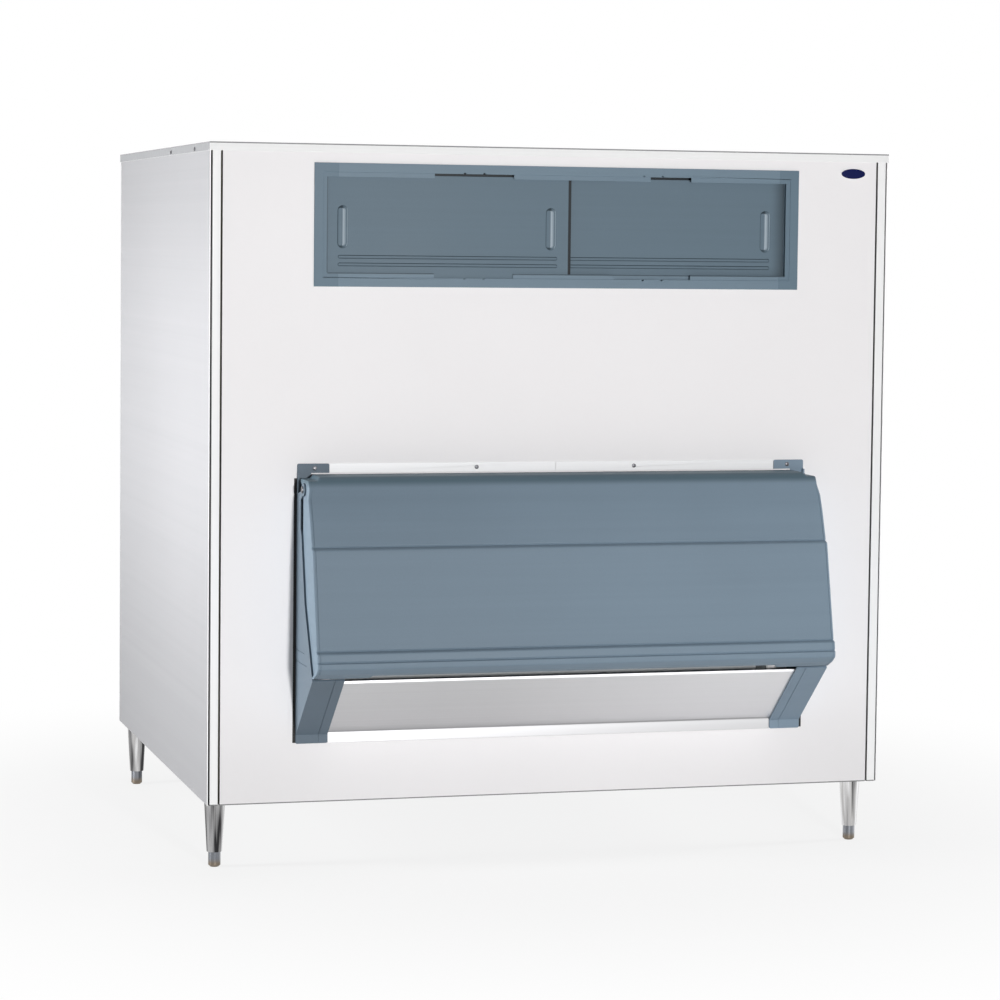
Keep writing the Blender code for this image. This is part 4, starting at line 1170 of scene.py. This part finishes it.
def hood_ends(i):
    """Points round the right end of a row, from the face over the rim and the side wall inside."""
    start = hood_point(i, rim_x)
    toward = back_points[i] - start
    length = toward.length
    toward.normalize()
    through = through_wall(i, toward, length)
    proud = eased(-start.y, -brow_height, -brow_foot)
    rim = wall_x + (rim_x - wall_x) * proud
    groove = 0.0013 * proud
    # Each pair is X and how far the point lies from the outside toward the back.
    outside = [(rim - 0.0075, 0.0), (rim - 0.0070, groove), (rim - 0.0056, groove), (rim - 0.0050, 0.0),
               (rim - 0.0030, 0.0), (rim - 0.0009, 0.0009), (rim, min(0.003, 0.2 * length)),
               (rim, min(0.0135, 0.5 * length)), (rim - 0.0008 * proud, min(0.0143, 0.55 * length)),
               (wall_x, min(0.0150, 0.6 * length)), (wall_x, length - 0.001), (wall_x - 0.001, length)]
    inside = [(inside_x + 0.001, length), (inside_x, length - 0.001),
              (inside_x, min(through + 0.003, 0.85 * length)), (inside_x - 0.0009, through + 0.0009),
              (inside_x - 0.003, through)]
    return [(x, start + toward * depth) for x, depth in outside + inside]


def hood_row(i, places):
    """One closed loop of points: the face, the right end, the inside and the left end."""
    ends = hood_ends(i)
    outer = [(x, hood_point(i, x)) for x in places]
    inner = []
    for x, place in outer:
        toward = back_points[i] - place
        length = toward.length
        toward.normalize()
        inner.append((x, place + toward * through_wall(i, toward, length)))
    left = [(-x, place) for x, place in reversed(ends)]
    row = outer + ends + list(reversed(inner)) + left
    return [(x, front_y - place.x, place.y) for x, place in row]


print("points round the hood's end:", len(hood_ends(0)))

# %% Join the rows into a shell
def build_hood():
    work = bmesh.new()
    rows = [[work.verts.new(p) for p in hood_row(i, places)] for i in range(len(plain_path))]
    for first, second in zip(rows, rows[1:]):
        join_rings(work, first, second)
    count, ends = len(places), len(hood_ends(0))
    for row in (rows[0], rows[-1]):
        outer = row[:count]
        inner = list(reversed(row[count + ends:2 * count + ends]))
        right = row[count:count + ends]
        left = row[2 * count + ends:]
        for k in range(count - 1):
            work.faces.new((outer[k], outer[k + 1], inner[k + 1], inner[k]))
        work.faces.new([outer[-1]] + right + [inner[-1]])
        work.faces.new([inner[0]] + left + [outer[0]])
    bmesh.ops.remove_doubles(work, verts=work.verts, dist=0.00001)
    bmesh.ops.recalc_face_normals(work, faces=work.faces)
    open_edges = sum(1 for edge in work.edges if not edge.is_manifold)
    piece = new_object("hood_door_piece", work)
    shade_evenly(piece.data, 40)
    print("hood faces:", len(piece.data.polygons), "open edges:", open_edges)
    return settle(piece, "hood_door", hood_finish)


build_hood()

# %% [markdown]
# ## Brackets and hinge pins
#
# A bracket at each end is moulded in one with its ear, cheek, sloping leg and foot tab. The
# corners of the ear and the tab are rounded as seen from the front. One bevel for all would be
# too small for these corners or too large for the thin walls, so these few corners are bevelled
# first by 3.5 mm and all edges afterwards by less than one.

# %% Bracket pieces
def build_bracket(side):
    node = "hood_bracket_" + side
    low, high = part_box(node)
    piece = copy_of(node)
    round_ears(piece, [(x, z) for x in (low.x, high.x) for z in (low.z, high.z)], 0.0035)
    roll_edges(piece, 0.0008)
    return settle(piece, node, bracket_finishes[side])


for side in ("left", "right"):
    build_bracket(side)
    rolled("hinge_pin_" + side, screw_finish, 0.0004)
print("hood and brackets dressed")

# %% [markdown]
# ## Gate, tracks and drain
#
# Behind the scoop opening a thick board keeps the ice back. It lifts up in two tracks by its
# hand holes. The drain stands in the floor behind it, under a slotted strainer. These are plain
# boards, channels and tubes, and rolled edges are all that they lack.

# %% Inside pieces
rolled("ice_gate", gate_finish, 0.0020, 3)
for side in ("left", "right"):
    rolled("gate_track_" + side, liner_finish, 0.0006)
rolled("drain_fitting", drain_finish, 0.0006)
rolled("drain_strainer", drain_finish, 0.0003)
print("inside dressed")

# %% [markdown]
# ## Legs and feet
#
# The legs are drawn tubes that taper to a collar, with a screwed foot in each. The solids have
# the taper and the collar, so here too the edges are rolled, and the painted reflections of the
# tubes, bright and dark stripes, are in the finish.

# %% Leg pieces
for end in ("front", "rear"):
    for side in ("left", "right"):
        tail = "_" + end + "_" + side
        rolled("leg" + tail, leg_finish, 0.0006)
        rolled("leg_socket" + tail, base_finish, 0.0006)
        rolled("levelling_foot" + tail, foot_finish, 0.0010, 3)
print("legs dressed")

# %% [markdown]
# ## Screws
#
# Every screw is a pan head with a cross for the driver. A bump could draw the cross, but it would
# be flat from the side, so it is cut with a Boolean modifier by two crossed bars that narrow
# toward the bottom, as the driver's tip does.

# %% Screws with a cross
def cross_cutter(top, axis, radius, depth):
    """Two crossed bars round the axis, wide at the top and narrow at the bottom."""
    above, narrowing, slimness = 0.0006, 0.55, 0.26
    side = axis.orthogonal().normalized()
    other = axis.cross(side)
    work = bmesh.new()
    for along, across in ((side, other), (other, side)):
        rings = []
        for level, share in ((above, 1.0), (-depth, narrowing)):
            length, width = radius * share, radius * slimness * share
            rings.append([work.verts.new(top + axis * level + along * a * length + across * c * width)
                          for a, c in ((-1, -1), (1, -1), (1, 1), (-1, 1))])
        join_rings(work, rings[0], rings[1])
        work.faces.new(rings[0])
        work.faces.new(rings[1])
    bmesh.ops.recalc_face_normals(work, faces=work.faces)
    return new_object("cross_cutter", work)


cross_share, cross_depth = 0.52, 0.0012


def build_screw(node, outward):
    """A screw whose head looks along the given axis, with a cross about half as wide as its head."""
    piece = copy_of(node)
    low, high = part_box(node)
    axis = Vector(outward)
    top = (low + high) / 2
    for k in range(3):
        if axis[k]:
            top[k] = high[k] if axis[k] > 0 else low[k]
    radius = max(high[k] - low[k] for k in range(3) if not axis[k]) / 2
    cutter = cross_cutter(top, axis, radius * cross_share, cross_depth)
    cut = piece.modifiers.new("cross", "BOOLEAN")
    cut.object = cutter
    cut.solver = "EXACT"
    cut.use_self = True
    apply_modifiers(piece)
    bpy.data.objects.remove(cutter)
    roll_edges(piece, 0.00025)
    return settle(piece, node, screw_finish)


for side, outward in (("left", (-1, 0, 0)), ("right", (1, 0, 0))):
    build_screw("ear_screw_" + side, (0, -1, 0))
    build_screw("strip_screw_" + side, (0, -1, 0))
    for number in (1, 2):
        build_screw("cover_screw_%s_%d" % (side, number), outward)
print("screws dressed")

# %% [markdown]
# ## Badge
#
# The badge is left blank. A pale rim runs round a domed oval of dark enamel. Both are stacks of
# oval rings, closed in the middle; the rim is one piece and the enamel another, as they have
# different finishes.

# %% Badge rim and enamel
def oval_stack(name, centre, half, levels, back, points=64):
    """Rings of an oval from the back to the middle; levels are inset and distance forward."""
    work = bmesh.new()
    rings = []
    for inset, forward in levels:
        ring = []
        for step in range(points):
            angle = 2 * math.pi * step / points
            ring.append((centre[0] + (half[0] - inset) * math.cos(angle),
                         centre[1] + (half[1] - inset) * math.sin(angle)))
        rings.append(add_ring(work, ring, back - forward))
    for first, second in zip(rings, rings[1:]):
        join_rings(work, first, second)
    work.faces.new(rings[0])
    work.faces.new(rings[-1])
    bmesh.ops.recalc_face_normals(work, faces=work.faces)
    piece = new_object(name, work)
    shade_evenly(piece.data, 60)
    return piece


def build_badge():
    low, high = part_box("badge")
    centre = ((low.x + high.x) / 2, (low.z + high.z) / 2)
    half = ((high.x - low.x) / 2, (high.z - low.z) / 2)
    thick = high.y - low.y
    rim_width, dome_rise, dome_steps = 0.0014, 0.0005, 9
    rim = oval_stack("badge_rim", centre, half, [
        (0.0004, 0.0), (0.0, 0.0004), (0.0, thick - 0.0006), (0.0003, thick - 0.0001), (0.0006, thick),
        (0.0010, thick - 0.0001), (0.0012, thick - 0.0005), (rim_width, thick - 0.0011)], high.y)
    settle(rim, "badge", rim_finish)
    dome = [(rim_width - 0.0001, thick - 0.0012)]
    for step in range(dome_steps):
        share = step / dome_steps
        rise = dome_rise * math.sin(share * math.pi / 2)
        dome.append((rim_width + (half[1] - 0.0026) * share, thick - 0.0006 + rise))
    enamel = oval_stack("badge_enamel", centre, half, dome, high.y)
    settle(enamel, "badge", enamel_finish)


build_badge()
print("badge dressed")

# %% [markdown]
# ## Camera, light and floor
#
# The photograph was taken from the left of the bin, a little lower than its lid, with a long
# lens, so the camera stands seven metres away and looks slightly down. The values come from a fit
# of the body's edges to the photograph, which counts as 1000 pixels wide.

# %% Camera
image_width = 1000.0
focal_px, centre_px = 3155.8, 450.0
camera_place = Vector((-1.9582, -7.0536, 1.3498))
yaw, pitch, roll = (math.radians(angle) for angle in (15.627, 3.792, 0.640))


def build_camera():
    data = bpy.data.cameras.new("camera")
    made = bpy.data.objects.new("camera", data)
    scene.collection.objects.link(made)
    data.sensor_width = 36.0
    data.lens = focal_px * data.sensor_width / image_width
    data.shift_y = (centre_px - image_width / 2) / image_width
    data.clip_end = 100.0
    forward = Vector((math.sin(yaw) * math.cos(pitch), math.cos(yaw) * math.cos(pitch),
                      -math.sin(pitch)))
    turn = forward.to_track_quat("-Z", "Y").to_matrix().to_4x4()
    made.matrix_world = Matrix.Translation(camera_place) @ turn @ Matrix.Rotation(roll, 4, "Z")
    scene.camera = made


build_camera()
print("camera at", tuple(round(c, 3) for c in scene.camera.location))

# %% [markdown]
# The surroundings are white wherever the camera or a reflection looks, as on a studio sweep. The
# floor keeps a soft shadow of the bin: near it the camera sees part shaded floor and part plain
# white, and farther out only white.

# %% Floor and white surroundings
def seen_directly(tree):
    """1 for rays from the camera, from a reflection or through glass, otherwise 0."""
    path = tree.nodes.new("ShaderNodeLightPath")
    seen = math_node(tree, "MAXIMUM", path.outputs["Is Camera Ray"], path.outputs["Is Glossy Ray"])
    return math_node(tree, "MAXIMUM", seen, path.outputs["Is Transmission Ray"])


def floor_disc(radius, depth):
    """A round floor a hair below the feet, so that they never share a plane."""
    work = bmesh.new()
    bmesh.ops.create_circle(work, cap_ends=True, segments=96, radius=radius)
    made = new_object("floor", work)
    made.location.z = -depth
    return made


def build_floor(near_white, near, far):
    """A pale floor that keeps a part of its shading near the bin and is plain white far from it."""
    made = floor_disc(30.0, 0.0005)
    finish, tree, shader = new_finish("floor_finish", 0.9, specular=0.0)
    shader.inputs["Base Color"].default_value = (0.67, 0.67, 0.67, 1.0)
    place = tree.nodes.new("ShaderNodeTexCoord")
    length = tree.nodes.new("ShaderNodeVectorMath")
    length.operation = "LENGTH"
    tree.links.new(place.outputs["Object"], length.inputs[0])
    spread = tree.nodes.new("ShaderNodeMapRange")
    spread.interpolation_type = "SMOOTHSTEP"
    for name, value in (("From Min", near), ("From Max", far), ("To Min", near_white), ("To Max", 1.0)):
        spread.inputs[name].default_value = value
    tree.links.new(length.outputs["Value"], spread.inputs["Value"])
    white = tree.nodes.new("ShaderNodeEmission")
    mix = tree.nodes.new("ShaderNodeMixShader")
    share = math_node(tree, "MULTIPLY", spread.outputs["Result"], seen_directly(tree))
    tree.links.new(share, mix.inputs["Fac"])
    tree.links.new(shader.outputs["BSDF"], mix.inputs[1])
    tree.links.new(white.outputs["Emission"], mix.inputs[2])
    tree.links.new(mix.outputs["Shader"], tree.nodes["Material Output"].inputs["Surface"])
    made.data.materials.append(finish)
    made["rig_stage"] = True


def build_world(level):
    """White where it is seen directly, and a dim even light for all other rays."""
    world = bpy.data.worlds.new("studio")
    world.use_nodes = True
    tree = world.node_tree
    back = tree.nodes["Background"]
    back.inputs["Color"].default_value = (1.0, 1.0, 1.0, 1.0)
    lift = tree.nodes.new("ShaderNodeMapRange")
    lift.inputs["To Min"].default_value = level
    lift.inputs["To Max"].default_value = 1.0
    tree.links.new(seen_directly(tree), lift.inputs["Value"])
    tree.links.new(lift.outputs["Result"], back.inputs["Strength"])
    scene.world = world


build_floor(near_white=0.82, near=0.7, far=2.2)
build_world(level=0.08)
print("floor and surroundings made")

# %% [markdown]
# The key lamp stands straight ahead, far away and quite small, so the hood throws a narrow crisp
# shade beside its left bracket. The side lamps stand just behind the plane of the front, so they
# brighten the hood's ends and the side panels and leave the front alone. A weak lamp hangs above.

# %% Lamps
def soft_lamp(name, place, target, size, power):
    """A lamp with a square or oblong face, aimed at a target."""
    data = bpy.data.lights.new(name, "AREA")
    data.shape = "RECTANGLE"
    data.size, data.size_y = size
    data.energy = power
    made = bpy.data.objects.new(name, data)
    scene.collection.objects.link(made)
    aim = (Vector(target) - Vector(place)).to_track_quat("-Z", "Y")
    made.matrix_world = Matrix.Translation(place) @ aim.to_matrix().to_4x4()


soft_lamp("key", (-0.05, -7.2, 1.15), (0.0, -0.5, 0.8), (0.3, 0.3), 299.0)
soft_lamp("side left", (-5.0, -0.15, 1.1), (0.0, -0.15, 0.8), (0.7, 1.6), 270.0)
soft_lamp("side right", (5.0, -0.15, 1.1), (0.0, -0.15, 0.8), (0.7, 1.6), 200.0)
soft_lamp("top", (0.0, 0.4, 4.2), (0.0, 0.0, 0.0), (3.0, 3.0), 30.0)

# %% Finish the scene
scene.view_settings.view_transform = "Standard"
shown_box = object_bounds()
for axis in range(3):
    cad = cad_box[1][axis] - cad_box[0][axis]
    shown = shown_box[1][axis] - shown_box[0][axis]
    print("axis", axis, "solids", round(cad, 4), "shown", round(shown, 4))
